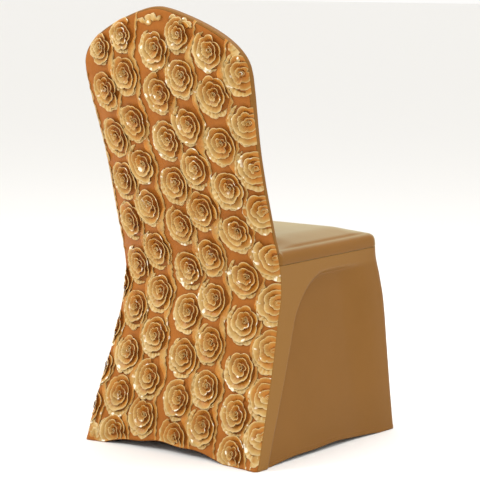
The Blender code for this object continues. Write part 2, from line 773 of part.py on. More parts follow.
def rosette_column(name, shares, shifts, rows, first_size, first_drop, cut_side):
    """One column of rosettes with the ribbon between them, as one closed body on the back panel."""
    bm = bmesh.new()
    openings = []
    for row in range(rows[0], rows[1] + 1):
        is_first = row == rows[0]
        size = first_size if is_first else 1.0
        centre = ROW_Z[row] + between(shifts, ROW_Z[row]) - (first_drop if is_first else 0.0)
        turn = TURN_PER_ROW * row + TURN_ACROSS * shares[0]
        openings.append(add_rosette(bm, turn, centre, size, cut_side))
    for i in range(len(openings) - 1):
        link(bm, openings[i + 1][0], openings[i][1], TAIL_SWAY * (-1) ** i)
    bm.faces.new(reversed(openings[0][0]))
    bm.faces.new(reversed(openings[-1][1]))
    bmesh.ops.recalc_face_normals(bm, faces=bm.faces)
    if cut_side:
        # The side seam cuts the rosettes that reach past it
        reach = (1 - abs(shares[1])) * half_width(SKIRT_SEAM_Z) - SEAM_TURN
        cut_away(bm, (cut_side * reach, 0, 0), (cut_side, 0, 0))
    line_x = shares[1] * half_width(0.0)
    hem = max(rear_hem(line_x + reach * ROSETTE_HALF_WIDTH) for reach in (-1, 0, 1))
    cut_away(bm, (0, hem + HEM_TURN, 0), (0, -1, 0))
    for vertex in bm.verts:
        z = vertex.co.y
        vertex.co = on_back(between(shares, z) * half_width(z) + vertex.co.x, z, vertex.co.z)
    if bm.calc_volume(signed=True) < 0:
        bmesh.ops.reverse_faces(bm, faces=bm.faces)
    return add_object(name, bm, RIBBON)


def build():
    for obj in list(bpy.data.objects):
        bpy.data.objects.remove(obj)
    back_panel()
    inside_back()
    seat_panel()
    side_skirt("skirt_right", -1)
    side_skirt("skirt_left", 1)
    front_skirt()
    for side, side_name in ((-1, "right"), (1, "left")):
        foot_pocket("foot_pocket_rear_" + side_name, side, True)
        foot_pocket("foot_pocket_front_" + side_name, side, False)
    for column in COLUMNS:
        rosette_column(*column)


build()
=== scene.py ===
"""The looks of a fitted stretch chair cover with satin ribbon rosettes on its back.

Metres, +Z up, +Y towards the rosette back, -X the sitter's right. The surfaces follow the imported
part's own profiles at a finer step, and the ribbon is laid on them as gathered strips.
"""

import math

import bmesh
import bpy
import numpy as np
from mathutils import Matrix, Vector, noise


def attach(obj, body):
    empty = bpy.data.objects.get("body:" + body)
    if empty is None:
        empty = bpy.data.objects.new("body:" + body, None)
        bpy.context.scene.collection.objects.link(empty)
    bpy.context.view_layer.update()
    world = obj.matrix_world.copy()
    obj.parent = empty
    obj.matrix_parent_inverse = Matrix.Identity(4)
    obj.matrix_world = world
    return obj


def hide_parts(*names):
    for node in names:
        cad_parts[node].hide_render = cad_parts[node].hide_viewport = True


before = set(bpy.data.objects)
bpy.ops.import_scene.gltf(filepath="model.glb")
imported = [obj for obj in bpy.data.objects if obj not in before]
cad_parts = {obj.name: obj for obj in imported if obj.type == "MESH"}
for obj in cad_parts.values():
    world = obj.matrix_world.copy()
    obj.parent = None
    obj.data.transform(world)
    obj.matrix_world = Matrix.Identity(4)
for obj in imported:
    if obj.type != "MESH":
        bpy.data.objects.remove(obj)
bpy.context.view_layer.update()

# Heights of the cover
CROWN_Z = 0.925
SHOULDER_Z = 0.790
SEAT_SEAM_Z = 0.403
SEAT_EDGE_Z = 0.431
SEAT_CROWN = 0.0155
SEAT_CROWN_REACH = 0.50
JUNCTION_Z = SEAT_EDGE_Z - 0.005
HEM_LIFT = 0.0006

# The rear corner line: height, how far back it lies, half the cover's width
REAR_PROFILE = (
    (0.000, 0.2304, 0.2318),
    (0.100, 0.1974, 0.2262),
    (0.200, 0.1614, 0.2170),
    (0.290, 0.1349, 0.2104),
    (0.350, 0.1224, 0.2090),
    (0.410, 0.1304, 0.2090),
    (0.470, 0.1484, 0.2070),
    (0.620, 0.1894, 0.2050),
    (0.780, 0.2334, 0.2156),
    (0.925, 0.2624, 0.2156),
)
# How far the middle of the back panel stands behind that line: height, bulge
REAR_BULGE = (
    (0.000, -0.012),
    (0.060, -0.007),
    (0.200, 0.012),
    (0.300, 0.024),
    (0.400, 0.028),
    (0.500, 0.026),
    (0.600, 0.020),
    (0.800, 0.016),
    (0.925, 0.010),
)
# Thickness of the chair's back under the cloth, and where the seam lies on the rounded rear corner
BACK_THICKNESS = ((0.425, 0.0184), (0.560, 0.0188), (0.750, 0.0225), (0.925, 0.025))
SEAM_ANGLE = ((0.000, 62.0), (0.500, 62.0), (0.800, 30.0), (0.925, 26.0))
# The front corner line: height, how far forward, half the width, corner radius
FRONT_PROFILE = (
    (0.000, -0.2716, 0.2323, 0.016),
    (0.100, -0.2686, 0.2249, 0.018),
    (0.200, -0.2666, 0.2177, 0.020),
    (0.285, -0.2641, 0.2120, 0.024),
    (0.340, -0.2576, 0.2068, 0.026),
    (0.385, -0.2506, 0.2020, 0.028),
    (0.440, -0.2490, 0.2005, 0.028),
)
EDGE_RADIUS = 0.009
FRONT_SEAM_ANGLE = 60.0
CROWN_POWER = 2.38
PEAK_ROUNDING = 0.12
CROWN_DOME = 0.15
PAD_BULGE = 0.010
PAD_START_Z = 0.45
PAD_FADE = 0.15
# Steps over which slopes are measured, of the crown's outline and of the back's face
SLOPE_STEP = 0.002
FACE_STEP = 0.0015

# The drawn-in field of a skirt, the share of a side's recess left at the floor, and where it is full
SIDE_RECESS = 0.011
FRONT_RECESS = 0.006
LEG_STRIP = 0.026
LEG_STRIP_SLANT = 0.09
LEG_FOLD = 0.013
FRONT_STRIP = 0.018
FRONT_FOLD = 0.120
RECESS_TOP_Z = 0.378
RECESS_CORNER = 0.100
FRONT_RECESS_CORNER = 0.060
RECESS_AT_FLOOR = 0.55
RECESS_FULL_Z = 0.25
# Share of a side's length over which its strips' tighter look and painted light fade to the front
STRETCH_AND_LIGHT_FADE = 0.6

# Hems
REAR_HEM_RISE = 0.020
REAR_HEM_WAVE = 0.0022
REAR_HEM_HALF = 0.160
REAR_HEM_SHIFT = 0.022
REAR_HEM_WAVES = 9.0
REAR_HEM_PHASE = 0.6
SKIRT_HEM_RISE = 0.009
SKIRT_HEM_WAVE = 0.0012
SKIRT_HEM_WAVES = 7.0
FOOT_FLAT = 0.045
HEM_POWER = 0.8

# The cloth of the looks, its seams, and the allowance turned in behind each seam
CLOTH = 0.0010
SEAM_GAP = 0.00035
TURN_IN = 0.005
# Rows of the back below the seat and above it, and columns across it
LOW_ROWS = 84
HIGH_ROWS = 80
BACK_COLUMNS = 88
# Rows of a skirt, columns of a side and of half the front, and where the first of them lies
SKIRT_ROWS = 104
SIDE_COLUMNS = 200
SIDE_START = 0.003
FRONT_COLUMNS = 48
FRONT_START = 0.985
# The height whose seam angle a whole side skirt keeps
SIDE_SEAM_Z = 0.2
# How far above the junction the inside back's rings start, from its face to its seam
INSIDE_BACK_STARTS = (0.0054, 0.0048, 0.0035, 0.0018, 0.0)

# The seat: steps along its sides and its front, and round half a corner, how far in its top ends
SEAT_STEPS = 46
ARC_STEPS = 6
SEAT_TOP_INSET = 0.015
# Rings down the seat's edge: how far in from the outline, height, and where the ring ends at the
# rear: how far in (None: at the seam), how far behind the inside back's foot, height
SEAT_RINGS = (
    (0.0105, SEAT_EDGE_Z - 0.0010, 0.0105, 0.0004, JUNCTION_Z + 0.0050),
    (0.0060, SEAT_EDGE_Z - 0.0034, 0.0060, 0.0012, JUNCTION_Z + 0.0046),
    (0.0032, SEAT_EDGE_Z - 0.0062, 0.0030, 0.0030, JUNCTION_Z + 0.0042),
    (0.0015, SEAT_EDGE_Z - 0.0100, 0.0012, 0.0054, JUNCTION_Z + 0.0038),
    (0.0004, SEAT_EDGE_Z - 0.0140, 0.0008, 0.0075, JUNCTION_Z + 0.0020),
    (0.0000, SEAT_EDGE_Z - 0.0180, None, None, JUNCTION_Z - SEAM_GAP),
    (-0.0004, SEAT_EDGE_Z - 0.0230, None, None, SEAT_SEAM_Z + 0.0080),
    (0.0000, SEAT_SEAM_Z + 0.0016, None, None, SEAT_SEAM_Z + 0.0016),
    (0.0006, SEAT_SEAM_Z + SEAM_GAP / 2, None, None, SEAT_SEAM_Z + SEAM_GAP / 2),
)
# The allowance behind the seat's seam: its size beside the last ring's, and its shift to the rear
SEAT_TURN_IN = 0.975
SEAT_TURN_IN_SHIFT = 0.001

# The turned-up hem: rows near it, its width, how far it stands out and over what height it ends
HEM_ROWS = np.array([0.0, 0.0025, 0.0050, 0.0066, 0.0074, 0.0082, 0.0095, 0.0125])
HEM_WIDTH = 0.0066
HEM_STEP = 0.0016
HEM_FOLD = 0.0007
FRONT_SEAM_RADIUS = 0.018
FRONT_SEAM_HALF = math.degrees(SEAM_GAP / 2 / FRONT_SEAM_RADIUS)
# A foot pocket: its length along each panel, the top and foot of its upstand, how far in that
# stands, and its floor's rows: height, and how much further in
POCKET_LEG = 0.034
POCKET_RISE = 0.015
POCKET_FOOT = 0.003
POCKET_OFFSET = 0.0026
POCKET_FLOOR_ROWS = ((0.0016, 0.0006), (CLOTH + 0.0002, 0.002))

# Rosettes: half their sizes and the heights of their rows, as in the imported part
ROSETTE_HALF_WIDTH = 0.0335
ROSETTE_HALF_HEIGHT = 0.0400
ROW_Z = (0.843, 0.754, 0.657, 0.567, 0.480, 0.384, 0.292, 0.200, 0.112, 0.034)
# Share of the half width at the top and floor, shift at the top and floor, first and last row,
# size of the first rosette, how far it hangs below its row, side on which a seam cuts the column
COLUMNS = (
    (1, (1.030, 1.030), (0.040, 0.040), (6, 9), 1.00, 0.000, 1),
    (2, (0.725, 0.700), (0.001, -0.011), (0, 9), 0.80, 0.004, 0),
    (3, (0.425, 0.375), (0.034, 0.034), (0, 9), 0.84, 0.010, 0),
    (4, (0.020, -0.010), (-0.002, 0.001), (0, 9), 1.00, 0.000, 0),
    (5, (-0.265, -0.325), (0.034, 0.034), (0, 9), 0.84, 0.006, 0),
    (6, (-0.605, -0.700), (0.000, -0.012), (0, 9), 0.96, 0.003, 0),
    (7, (-0.920, -0.990), (0.044, 0.028), (1, 9), 1.00, 0.000, -1),
)
ROSE_STEPS_PER_TURN = 140
ROSE_TURNS = 2.9
# The ribbon's section, from its sewn edge to its flaring free edge: share of lean, share of height
RIBBON_SECTION = (
    (-1.00, 0.00),
    (-0.78, 0.26),
    (-0.45, 0.46),
    (-0.08, 0.66),
    (0.24, 0.90),
    (0.46, 1.02),
    (0.62, 1.04),
    (0.74, 0.92),
)
# A frill grows towards the free edge by a power, and draws that edge down by a share of itself
FRILL_POWER = 1.5
FRILL_DROP = 0.45
# The ribbon's lean and height on the outer and the inner turn, and its foot above the ground there
OUTER_LEAN = 0.0086
INNER_LEAN = 0.0046
OUTER_HEIGHT = 0.0056
INNER_HEIGHT = 0.0104
OUTER_BASE = 0.0002
INNER_BASE = 0.0026
# How far the winding stays inside the rosette's half sizes, the share of the radius that it takes
# up, and where its middle lies beside the rosette's
ROSE_INSETS = (0.0022, 0.0042)
ROSE_CLOSING = 0.87
ROSE_DRIFT = np.array([-0.0048, 0.0022])
# Waves in a turn: fine gathers, slow swells, kinks of the path, lobes of the free edge
GATHERS_PER_TURN = 19.0
SWELLS_PER_TURN = 2.2
KINKS_PER_TURN = 3.6
LOBES_PER_TURN = 6.0
KINK_DEPTH = 0.0028
# The frill of the outer turn low and high on the back, from where it grows, and of the inner turn
LOW_FRILL = 0.0034
HIGH_FRILL = 0.0048
HIGH_FROM_Z = 0.45
HIGH_FADE = 0.25
INNER_FRILL = 0.0022
# The rolled end in the middle of a rosette
BUD_STEPS = 60
BUD_TURNS = 1.7
BUD_RADII = (0.0044, 0.0008)
BUD_HEIGHTS = (0.0098, 0.0112)
BUD_LEAN = 0.0024
BUD_BASE = 0.001
BUD_PALE = 0.15
# Towards which side a rosette lies open, painted paler there as lit, and the loose petals there
FAN_ANGLE = math.radians(-40.0)
FAN_SPREAD = math.radians(92.0)
FAN_STEPS = 120
FAN_REACH = 0.0010
FAN_LEAN = 0.0066
FAN_HEIGHT = 0.0040
FAN_BASE = 0.0003
FAN_FRILL = 0.0066
FAN_LOBES = 4.5
FAN_GATHERS = 13.0
FAN_PALE = 0.72
# The flat ribbon between the rosettes: share of half its width, share of its height
TAIL_SECTION = (
    (-1.00, 0.06),
    (-0.78, 0.58),
    (-0.40, 0.74),
    (0.00, 0.56),
    (0.38, 0.74),
    (0.76, 1.00),
    (0.94, 0.72),
    (1.00, 0.20),
)
TAIL_HALF_WIDTH = 0.0066
TAIL_HEIGHT = 0.0042
TAIL_STEP = 0.0012
TAIL_TONE = 0.90
# How far a tail starts above its first rosette and ends below the floor line, where its hem cuts it
TAIL_ABOVE = 0.055
TAIL_BELOW = 0.05
# Where a tail runs, in half widths of a rosette: beside the rosettes, and how far in between them
TAIL_BESIDE = -1.13
TAIL_SWING = 0.42
# Waves of a loose ribbon, each with its depth and pitch: of its width, its height and its edge
WIDTH_WAVES = ((0.22, 0.045), (0.07, 0.020))
HEIGHT_WAVES = ((0.26, 0.030), (0.10, 0.014))
EDGE_WAVES = ((0.0009, 0.017),)
LOOSE_HEIGHT = 0.80
LOOSE_BASE = 0.0004
# A strip's margin at seams and hems, its gap to the ground, and how it is pressed flat there: its
# share of height at the seam, and the distance over which it rises to its whole height
STRIP_MARGIN = 0.0010
STRIP_GAP = 0.0002
STRIP_PRESSED = 0.10
STRIP_RISE = 0.015
# The noise of the strips: its largest phase, the slow waves of its pitch and of its depth, and how
# lobes differ from plain waves
PHASES = 6.3
PITCH_WAVES = (1.7, 3.1, 5.3)
DEPTH_WAVES = 2.3
UNEVEN = 0.35
LOBE_UNEVEN = 0.55
LOBE_POWER = 0.75
LOBE_MEAN = 0.62
# Short ruffles off the columns: column, their two ends beside its axis and their heights, half width
RUFFLES = (
    (4, (0.044, 0.893), (-0.020, 0.906), 0.0075),
    (5, (0.020, 0.903), (-0.036, 0.890), 0.0060),
    (6, (-0.046, 0.866), (-0.066, 0.815), 0.0085),
    (1, (-0.014, 0.044), (-0.036, 0.010), 0.0080),
    (2, (0.064, 0.020), (0.034, 0.010), 0.0070),
    (7, (-0.004, 0.030), (0.016, 0.006), 0.0060),
)
RUFFLE_STEPS = 60
RUFFLE_HEIGHT = 0.0050
RUFFLE_BEND = 0.0035
# The ruffle along a seam: the column beside it, how far in from the outline, its top and its foot
SEAM_RUFFLE_COLUMN = 2
SEAM_RUFFLE_INSET = 0.0058
SEAM_RUFFLE_TOP = 0.785
SEAM_RUFFLE_FOOT = 0.400
SEAM_RUFFLE_HALF = 0.0042
SEAM_RUFFLE_HEIGHT = 0.0048
SEAM_RUFFLE_BEND = 0.0016
SEAM_RUFFLE_TONE = 0.95
SEED = 11

# The knit's two tones, its tone where drawn tight (partly painted light), its fleck and how much
# of that there is, its painted sheen where seen at a low angle, its sheen and the pitch of its ribs
KNIT_TONES = ((0.30, (0.200, 0.086, 0.014)), (0.70, (0.222, 0.096, 0.017)))
KNIT_TIGHT_AND_LIT = (0.272, 0.132, 0.030, 1.0)
KNIT_FLECK = (0.245, 0.110, 0.021, 1.0)
FLECK_STOPS = ((0.30, (0.0, 0.0, 0.0)), (0.70, (0.6, 0.6, 0.6)))
KNIT_PAINTED_SHEEN = (0.46, 0.44, 0.25, 1.0)
KNIT_SHEEN = (0.96, 1.0, 0.86, 1.0)
KNIT_PITCH = 0.0009
# The ground satin's two tones and its sheen
GROUND_TONES = ((0.30, (0.290, 0.090, 0.011)), (0.72, (0.350, 0.118, 0.018)))
GROUND_SHEEN = (1.0, 0.72, 0.45, 1.0)
# The ribbon's tones from its sewn edge, amber with painted shade of the creases, to its free edge,
# cream with painted highlight, and its softly paler and darker patches
RIBBON_TONES = (
    (0.00, (0.450, 0.160, 0.018)),
    (0.42, (0.430, 0.165, 0.021)),
    (0.62, (0.420, 0.200, 0.042)),
    (0.78, (0.470, 0.295, 0.094)),
    (1.00, (0.640, 0.500, 0.270)),
)
RIBBON_PATCHES = ((0.35, (0.88, 0.83, 0.74)), (0.65, (1.08, 1.06, 1.02)))
RIBBON_SHEEN = (1.0, 0.90, 0.70, 1.0)
# Painted glints of satin: their tone, where the noise leaves them, and from where the free edge counts
RIBBON_GLINT = (0.90, 0.80, 0.62, 1.0)
GLINT_STOPS = ((0.66, (0, 0, 0)), (0.71, (1, 1, 1)))
FREE_EDGE_STOPS = ((0.62, (0, 0, 0)), (0.80, (1, 1, 1)))

# The stage: floor, camera, sky, and each light's name, place, size and power
FLOOR_TONE = (0.90, 0.89, 0.87, 1.0)
FLOOR_REACH = 40.0
CAMERA_PLACE = Vector((-2.5997, 3.3066, 1.0101))
CAMERA_TARGET = Vector((-0.0326, 0.0284, 0.4315))
CAMERA_LENS = 149.4
CAMERA_SENSOR = 36.0
SKY_TONE = (1.0, 0.99, 0.97, 1.0)
LIGHTS = (
    ("key", (2.0, 2.3, 2.6), 1.6, 68.0),
    ("top", (-0.2, -0.6, 3.2), 2.0, 48.0),
    ("glint", (-2.6, 2.6, 2.6), 0.5, 26.0),
)
LIGHT_TARGET = Vector((0.0, 0.0, 0.45))


def curve(table, column, height):
    """A smooth curve through one column of a table whose first column is the height."""
    heights = np.array([row[0] for row in table])
    values = np.array([row[column] for row in table])
    last = len(heights) - 1
    z = np.clip(height, heights[0], heights[last])
    i = np.clip(np.searchsorted(heights, z) - 1, 0, last - 1)
    low = np.maximum(np.arange(last + 1) - 1, 0)
    high = np.minimum(np.arange(last + 1) + 1, last)
    slopes = (values[high] - values[low]) / (heights[high] - heights[low])
    span = heights[i + 1] - heights[i]
    t = (z - heights[i]) / span
    start = (2 * t**3 - 3 * t**2 + 1) * values[i] + (t**3 - 2 * t**2 + t) * span * slopes[i]
    end = (3 * t**2 - 2 * t**3) * values[i + 1] + (t**3 - t**2) * span * slopes[i + 1]
    return start + end


def ease(t):
    """0 to 1 with level ends."""
    t = np.clip(t, 0.0, 1.0)
    return t * t * (3 - 2 * t)


def dome(t):
    """0 to 1, rising at once and level at its end."""
    t = np.clip(t, 0.0, 1.0)
    return 1 - (1 - t) ** 2


def mix(a, b, t):
    return a + (b - a) * t


def rear_line(z):
    return curve(REAR_PROFILE, 1, z)


def half_width(z):
    return curve(REAR_PROFILE, 2, np.minimum(z, SHOULDER_Z))


def crown_edge(x):
    """Height of the crown's outline above a point across the back."""
    across = np.minimum(np.abs(x) / half_width(SHOULDER_Z), 1.0)
    peak = PEAK_ROUNDING
    across = (np.hypot(across, peak) - peak) / (math.hypot(1.0, peak) - peak)
    return SHOULDER_Z + (CROWN_Z - SHOULDER_Z) * np.maximum(1 - across, 0.0) ** (1 / CROWN_POWER)


def crown_slope(x):
    """Rise of the crown's outline for each metre across the back."""
    return (crown_edge(x + SLOPE_STEP) - crown_edge(x - SLOPE_STEP)) / (2 * SLOPE_STEP)


def rear_face(x, z):
    """The back panel's face, without its rounded edge."""
    across = np.minimum(np.abs(x) / (half_width(z) - EDGE_RADIUS), 1.0)
    below_edge = crown_edge(x) - z - EDGE_RADIUS
    bulge = curve(REAR_BULGE, 1, z) * (1 - across**3)
    return rear_line(z) + bulge * dome(below_edge / CROWN_DOME)


def front_face(x, z):
    """The inside back's face, with its padded middle."""
    across = np.minimum(np.abs(x) / (half_width(z) - EDGE_RADIUS), 1.0)
    below_edge = crown_edge(x) - z - EDGE_RADIUS
    pad = PAD_BULGE * (1 - across**3) * ease((z - PAD_START_Z) / PAD_FADE)
    return rear_line(z) - curve(BACK_THICKNESS, 1, z) - pad * dome(below_edge / CROWN_DOME)


def rear_hem(x):
    """Height of the back panel's hem."""
    along = np.clip((x - REAR_HEM_SHIFT) / REAR_HEM_HALF, -1.0, 1.0)
    wave = REAR_HEM_WAVE * np.sin(along * REAR_HEM_WAVES + REAR_HEM_PHASE) * (1 - along * along)
    return np.maximum(REAR_HEM_RISE * (1 - along * along) ** HEM_POWER + wave, HEM_LIFT)


def edge_distance(x, z):
    """How far a place on the back lies inside the cover's outline."""
    below = (crown_edge(x) - z) / np.hypot(crown_slope(x), 1.0)
    return np.minimum(half_width(z) - np.abs(x), below)


def rounded_rear(x, z):
    """The back panel's face with the rounding at its sides and crown, just short of upright."""
    inside = np.clip(EDGE_RADIUS - edge_distance(x, z), 0.0, EDGE_RADIUS * 0.995)
    return rear_face(x, z) - EDGE_RADIUS + np.sqrt(EDGE_RADIUS**2 - inside**2)


def on_back(x, z, lift):
    """Points so far off the rounded back panel."""
    step = FACE_STEP
    y = rounded_rear(x, z)
    du = (rounded_rear(x + step, z) - rounded_rear(x - step, z)) / (2 * step)
    dv = (rounded_rear(x, z + step) - rounded_rear(x, z - step)) / (2 * step)
    length = np.sqrt(du * du + dv * dv + 1)
    return np.stack([x - du / length * lift, y + lift / length, z - dv / length * lift], -1)


def front_corner(z):
    """Front line, half width and corner radius at a height."""
    return curve(FRONT_PROFILE, 1, z), curve(FRONT_PROFILE, 2, z), curve(FRONT_PROFILE, 3, z)


def side_length(z):
    front, _, radius = front_corner(z)
    return rear_line(z) - EDGE_RADIUS - (front + radius)


def rounded_field(across, up, corner):
    """Distance inside a field whose upper corner is rounded."""
    near = corner - np.hypot(np.maximum(corner - across, 0), np.maximum(corner - up, 0))
    return np.where((across < corner) & (up < corner), near, np.minimum(across, up))


def side_field(forward, z):
    """1 in a side skirt's drawn-in field and 0 on the strips over the leg and the seat frame."""
    strip = LEG_STRIP + LEG_STRIP_SLANT * z
    inside = rounded_field(forward - strip, RECESS_TOP_Z - z, RECESS_CORNER)
    return ease(inside / LEG_FOLD)


def side_recess(forward, length, z):
    """How far a side skirt is drawn in, so far forward of the rear corner."""
    field = side_field(forward, z) * ease((length - forward - FRONT_STRIP) / FRONT_FOLD)
    return SIDE_RECESS * mix(RECESS_AT_FLOOR, 1.0, ease(z / RECESS_FULL_Z)) * field


def front_recess(x, half, z):
    """How far the front skirt is drawn in."""
    inside = rounded_field(half - np.abs(x) - LEG_STRIP, RECESS_TOP_Z - z, FRONT_RECESS_CORNER)
    return FRONT_RECESS * ease(inside / LEG_FOLD)


def side_point(forward, z):
    """Outer face of a side, so far forward of the rear rounding."""
    front, front_half, radius = front_corner(z)
    start = rear_line(z) - EDGE_RADIUS
    length = start - (front + radius)
    x = mix(half_width(z), front_half, forward / length)
    return x - side_recess(forward, length, z), start - forward


def front_arc(angle, z, inward=0.0):
    """The rounded front corner, from 0 (facing out) to 90 degrees (facing forward)."""
    front, front_half, radius = front_corner(z)
    turn = math.radians(angle)
    reach = radius - inward
    return front_half - radius + reach * math.cos(turn), front + radius - reach * math.sin(turn)


def skirt_hem(forward, length):
    """Height of a skirt's hem, an arch between the feet."""
    along = np.clip((2 * forward - length) / (length - 2 * FOOT_FLAT), -1.0, 1.0)
    wave = SKIRT_HEM_WAVE * np.sin(along * SKIRT_HEM_WAVES) * (1 - along * along)
    return np.maximum(SKIRT_HEM_RISE * (1 - along * along) ** HEM_POWER + wave, HEM_LIFT)


def spread(count):
    """Shares from -1 to 1, closer together at the ends."""
    even = np.linspace(-1, 1, count + 1)
    return 0.7 * np.sin(even * math.pi / 2) + 0.3 * even


def back_outline(side_heights, columns):
    """Places (x, z) and outward directions up one side, over the crown and down the other."""
    left = [((-half_width(z), z), (-1.0, 0.0)) for z in side_heights]
    top = []
    for share in spread(columns)[1:-1]:
        x = share * half_width(SHOULDER_Z)
        rise = crown_slope(x)
        length = math.hypot(rise, 1.0)
        top.append(((x, crown_edge(x)), (-rise / length, 1.0 / length)))
    right = [((-place[0], place[1]), (1.0, 0.0)) for place, _ in reversed(left)]
    return left + top + right


def inset(place, direction, distance):
    return (place[0] - direction[0] * distance, place[1] - direction[1] * distance)


def rear_rounding(place, direction, angle, depth=0.0):
    """A point on the rounded rear edge, or so far under it."""
    turn = math.radians(angle)
    reach = EDGE_RADIUS - depth
    x, z = inset(place, direction, EDGE_RADIUS - reach * math.sin(turn))
    return (x, rear_line(z) - EDGE_RADIUS + reach * math.cos(turn), z)


def front_rounding(place, direction, angle):
    """The same on the front edge of the back."""
    turn = math.radians(angle)
    x, z = inset(place, direction, EDGE_RADIUS * (1 - math.sin(turn)))
    front = rear_line(z) - curve(BACK_THICKNESS, 1, z)
    return (x, front + EDGE_RADIUS * (1 - math.cos(turn)), z)


def filled_grid(bottom, top, left, right):
    """Points of a grid inside four border curves, as rows from bottom to top."""
    bottom, top, left, right = (np.array(edge, float) for edge in (bottom, top, left, right))
    v = np.linspace(0, 1, len(left))[:, None, None]
    u = np.linspace(0, 1, len(bottom))[None, :, None]
    edges = (1 - v) * bottom[None] + v * top[None] + (1 - u) * left[:, None] + u * right[:, None]
    corners = (1 - u) * (1 - v) * bottom[0] + u * (1 - v) * bottom[-1]
    corners = corners + (1 - u) * v * top[0] + u * v * top[-1]
    return edges - corners


def grid_mesh(grid, rings=()):
    """A mesh from a grid of points and the rings laid round three of its sides."""
    bm = bmesh.new()
    vertices = [[bm.verts.new(point) for point in row] for row in grid]
    rows = len(vertices)
    columns = len(vertices[0])
    for low, high in zip(vertices, vertices[1:]):
        for c in range(columns - 1):
            bm.faces.new((low[c], low[c + 1], high[c + 1], high[c]))
    inner = [line[0] for line in vertices] + vertices[-1][1:-1]
    inner += [vertices[r][-1] for r in range(rows - 1, -1, -1)]
    for ring in rings:
        outer = [bm.verts.new(point) for point in ring]
        for i in range(len(outer) - 1):
            bm.faces.new((inner[i], inner[i + 1], outer[i + 1], outer[i]))
        inner = outer
    return bm


def face_towards(bm, facing):
    """Turns the faces over where they look away from a direction."""
    bm.normal_update()
    lean = sum((face.normal * face.calc_area() for face in bm.faces), Vector())
    if lean.dot(Vector(facing)) < 0:
        bmesh.ops.reverse_faces(bm, faces=bm.faces)
    bm.normal_update()


def add_piece(name, bm, material, node):
    """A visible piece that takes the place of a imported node."""
    mesh = bpy.data.meshes.new(name)
    bm.to_mesh(mesh)
    bm.free()
    mesh.shade_smooth()
    mesh.materials.append(material)
    piece = bpy.data.objects.new(name, mesh)
    bpy.context.scene.collection.objects.link(piece)
    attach(piece, "root")
    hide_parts(node)
    return piece


def add_cloth(name, bm, facing, relief, material, node):
    """A thin sheet of cloth: its relief is laid along the normals, then it gets its thickness."""
    face_towards(bm, facing)
    moves = [(v, v.normal * relief(v.co)) for v in bm.verts]
    for vertex, move in moves:
        vertex.co += move
    piece = add_piece(name, bm, material, node)
    solidify = piece.modifiers.new("thickness", "SOLIDIFY")
    solidify.thickness = CLOTH
    solidify.offset = -1.0
    return piece


def shader_material(name, roughness, sheen, specular):
    """A material with its node tree and its shader."""
    material = bpy.data.materials.new(name)
    material.use_nodes = True
    tree = material.node_tree
    shader = tree.nodes["Principled BSDF"]
    shader.inputs["Roughness"].default_value = roughness
    shader.inputs["Sheen Weight"].default_value = sheen
    shader.inputs["Sheen Roughness"].default_value = 0.30
    shader.inputs["Specular IOR Level"].default_value = specular
    return material, tree, shader


def new_node(tree, kind, **inputs):
    """A node with values for its inputs, named with _ for a space."""
    node = tree.nodes.new(kind)
    for name, value in inputs.items():
        node.inputs[name.replace("_", " ")].default_value = value
    return node


def ramp(tree, factor, stops):
    """A colour ramp fed by a factor."""
    node = tree.nodes.new("ShaderNodeValToRGB")
    elements = node.color_ramp.elements
    while len(elements) < len(stops):
        elements.new(0.5)
    for element, (place, colour) in zip(elements, stops):
        element.position = place
        element.color = (*colour, 1.0)
    tree.links.new(factor, node.inputs["Fac"])
    return node.outputs["Color"]


def mixed(tree, factor, first, second, blend="MIX"):
    """Two colours mixed. The factor is a socket or a number."""
    node = tree.nodes.new("ShaderNodeMix")
    node.data_type = "RGBA"
    node.blend_type = blend
    for socket, value in ((node.inputs[0], factor), (node.inputs[6], first), (node.inputs[7], second)):
        if isinstance(value, bpy.types.NodeSocket):
            tree.links.new(value, socket)
        else:
            socket.default_value = value
    return node.outputs[2]


def vertex_share(tree, name):
    """A share that the mesh keeps at its vertices under a name."""
    node = tree.nodes.new("ShaderNodeAttribute")
    node.attribute_name = name
    return node.outputs["Fac"]


def object_place(tree, scale=(1, 1, 1)):
    """The point on the object, stretched by a scale for each axis."""
    place = tree.nodes.new("ShaderNodeTexCoord")
    mapping = new_node(tree, "ShaderNodeMapping", Scale=scale)
    tree.links.new(place.outputs["Object"], mapping.inputs["Vector"])
    return mapping.outputs["Vector"]


def noise_at(tree, vector, scale, detail=3.0):
    node = new_node(tree, "ShaderNodeTexNoise", Scale=scale, Detail=detail, Roughness=0.55)
    tree.links.new(vector, node.inputs["Vector"])
    return node.outputs["Fac"]


def bump(tree, shader, layers):
    """Bump from several heights, each with its strength and depth in metres."""
    previous = None
    for height, strength, distance in layers:
        node = new_node(tree, "ShaderNodeBump", Strength=strength, Distance=distance)
        tree.links.new(height, node.inputs["Height"])
        if previous is not None:
            tree.links.new(previous, node.inputs["Normal"])
        previous = node.outputs["Normal"]
    tree.links.new(previous, shader.inputs["Normal"])


def knit_height(tree, pitch):
    """Fine ribs of a warp knit, crossed by its courses."""
    place = object_place(tree)
    heights = []
    for direction, scale in (("Z", 1.0), ("DIAGONAL", 1.3)):
        wave = new_node(tree, "ShaderNodeTexWave", Scale=scale / pitch / 6.0, Distortion=1.2)
        wave.bands_direction = direction
        tree.links.new(place, wave.inputs["Vector"])
        heights.append(wave.outputs["Fac"])
    add = tree.nodes.new("ShaderNodeMath")
    add.operation = "ADD"
    tree.links.new(heights[0], add.inputs[0])
    tree.links.new(heights[1], add.inputs[1])
    return add.outputs[0]


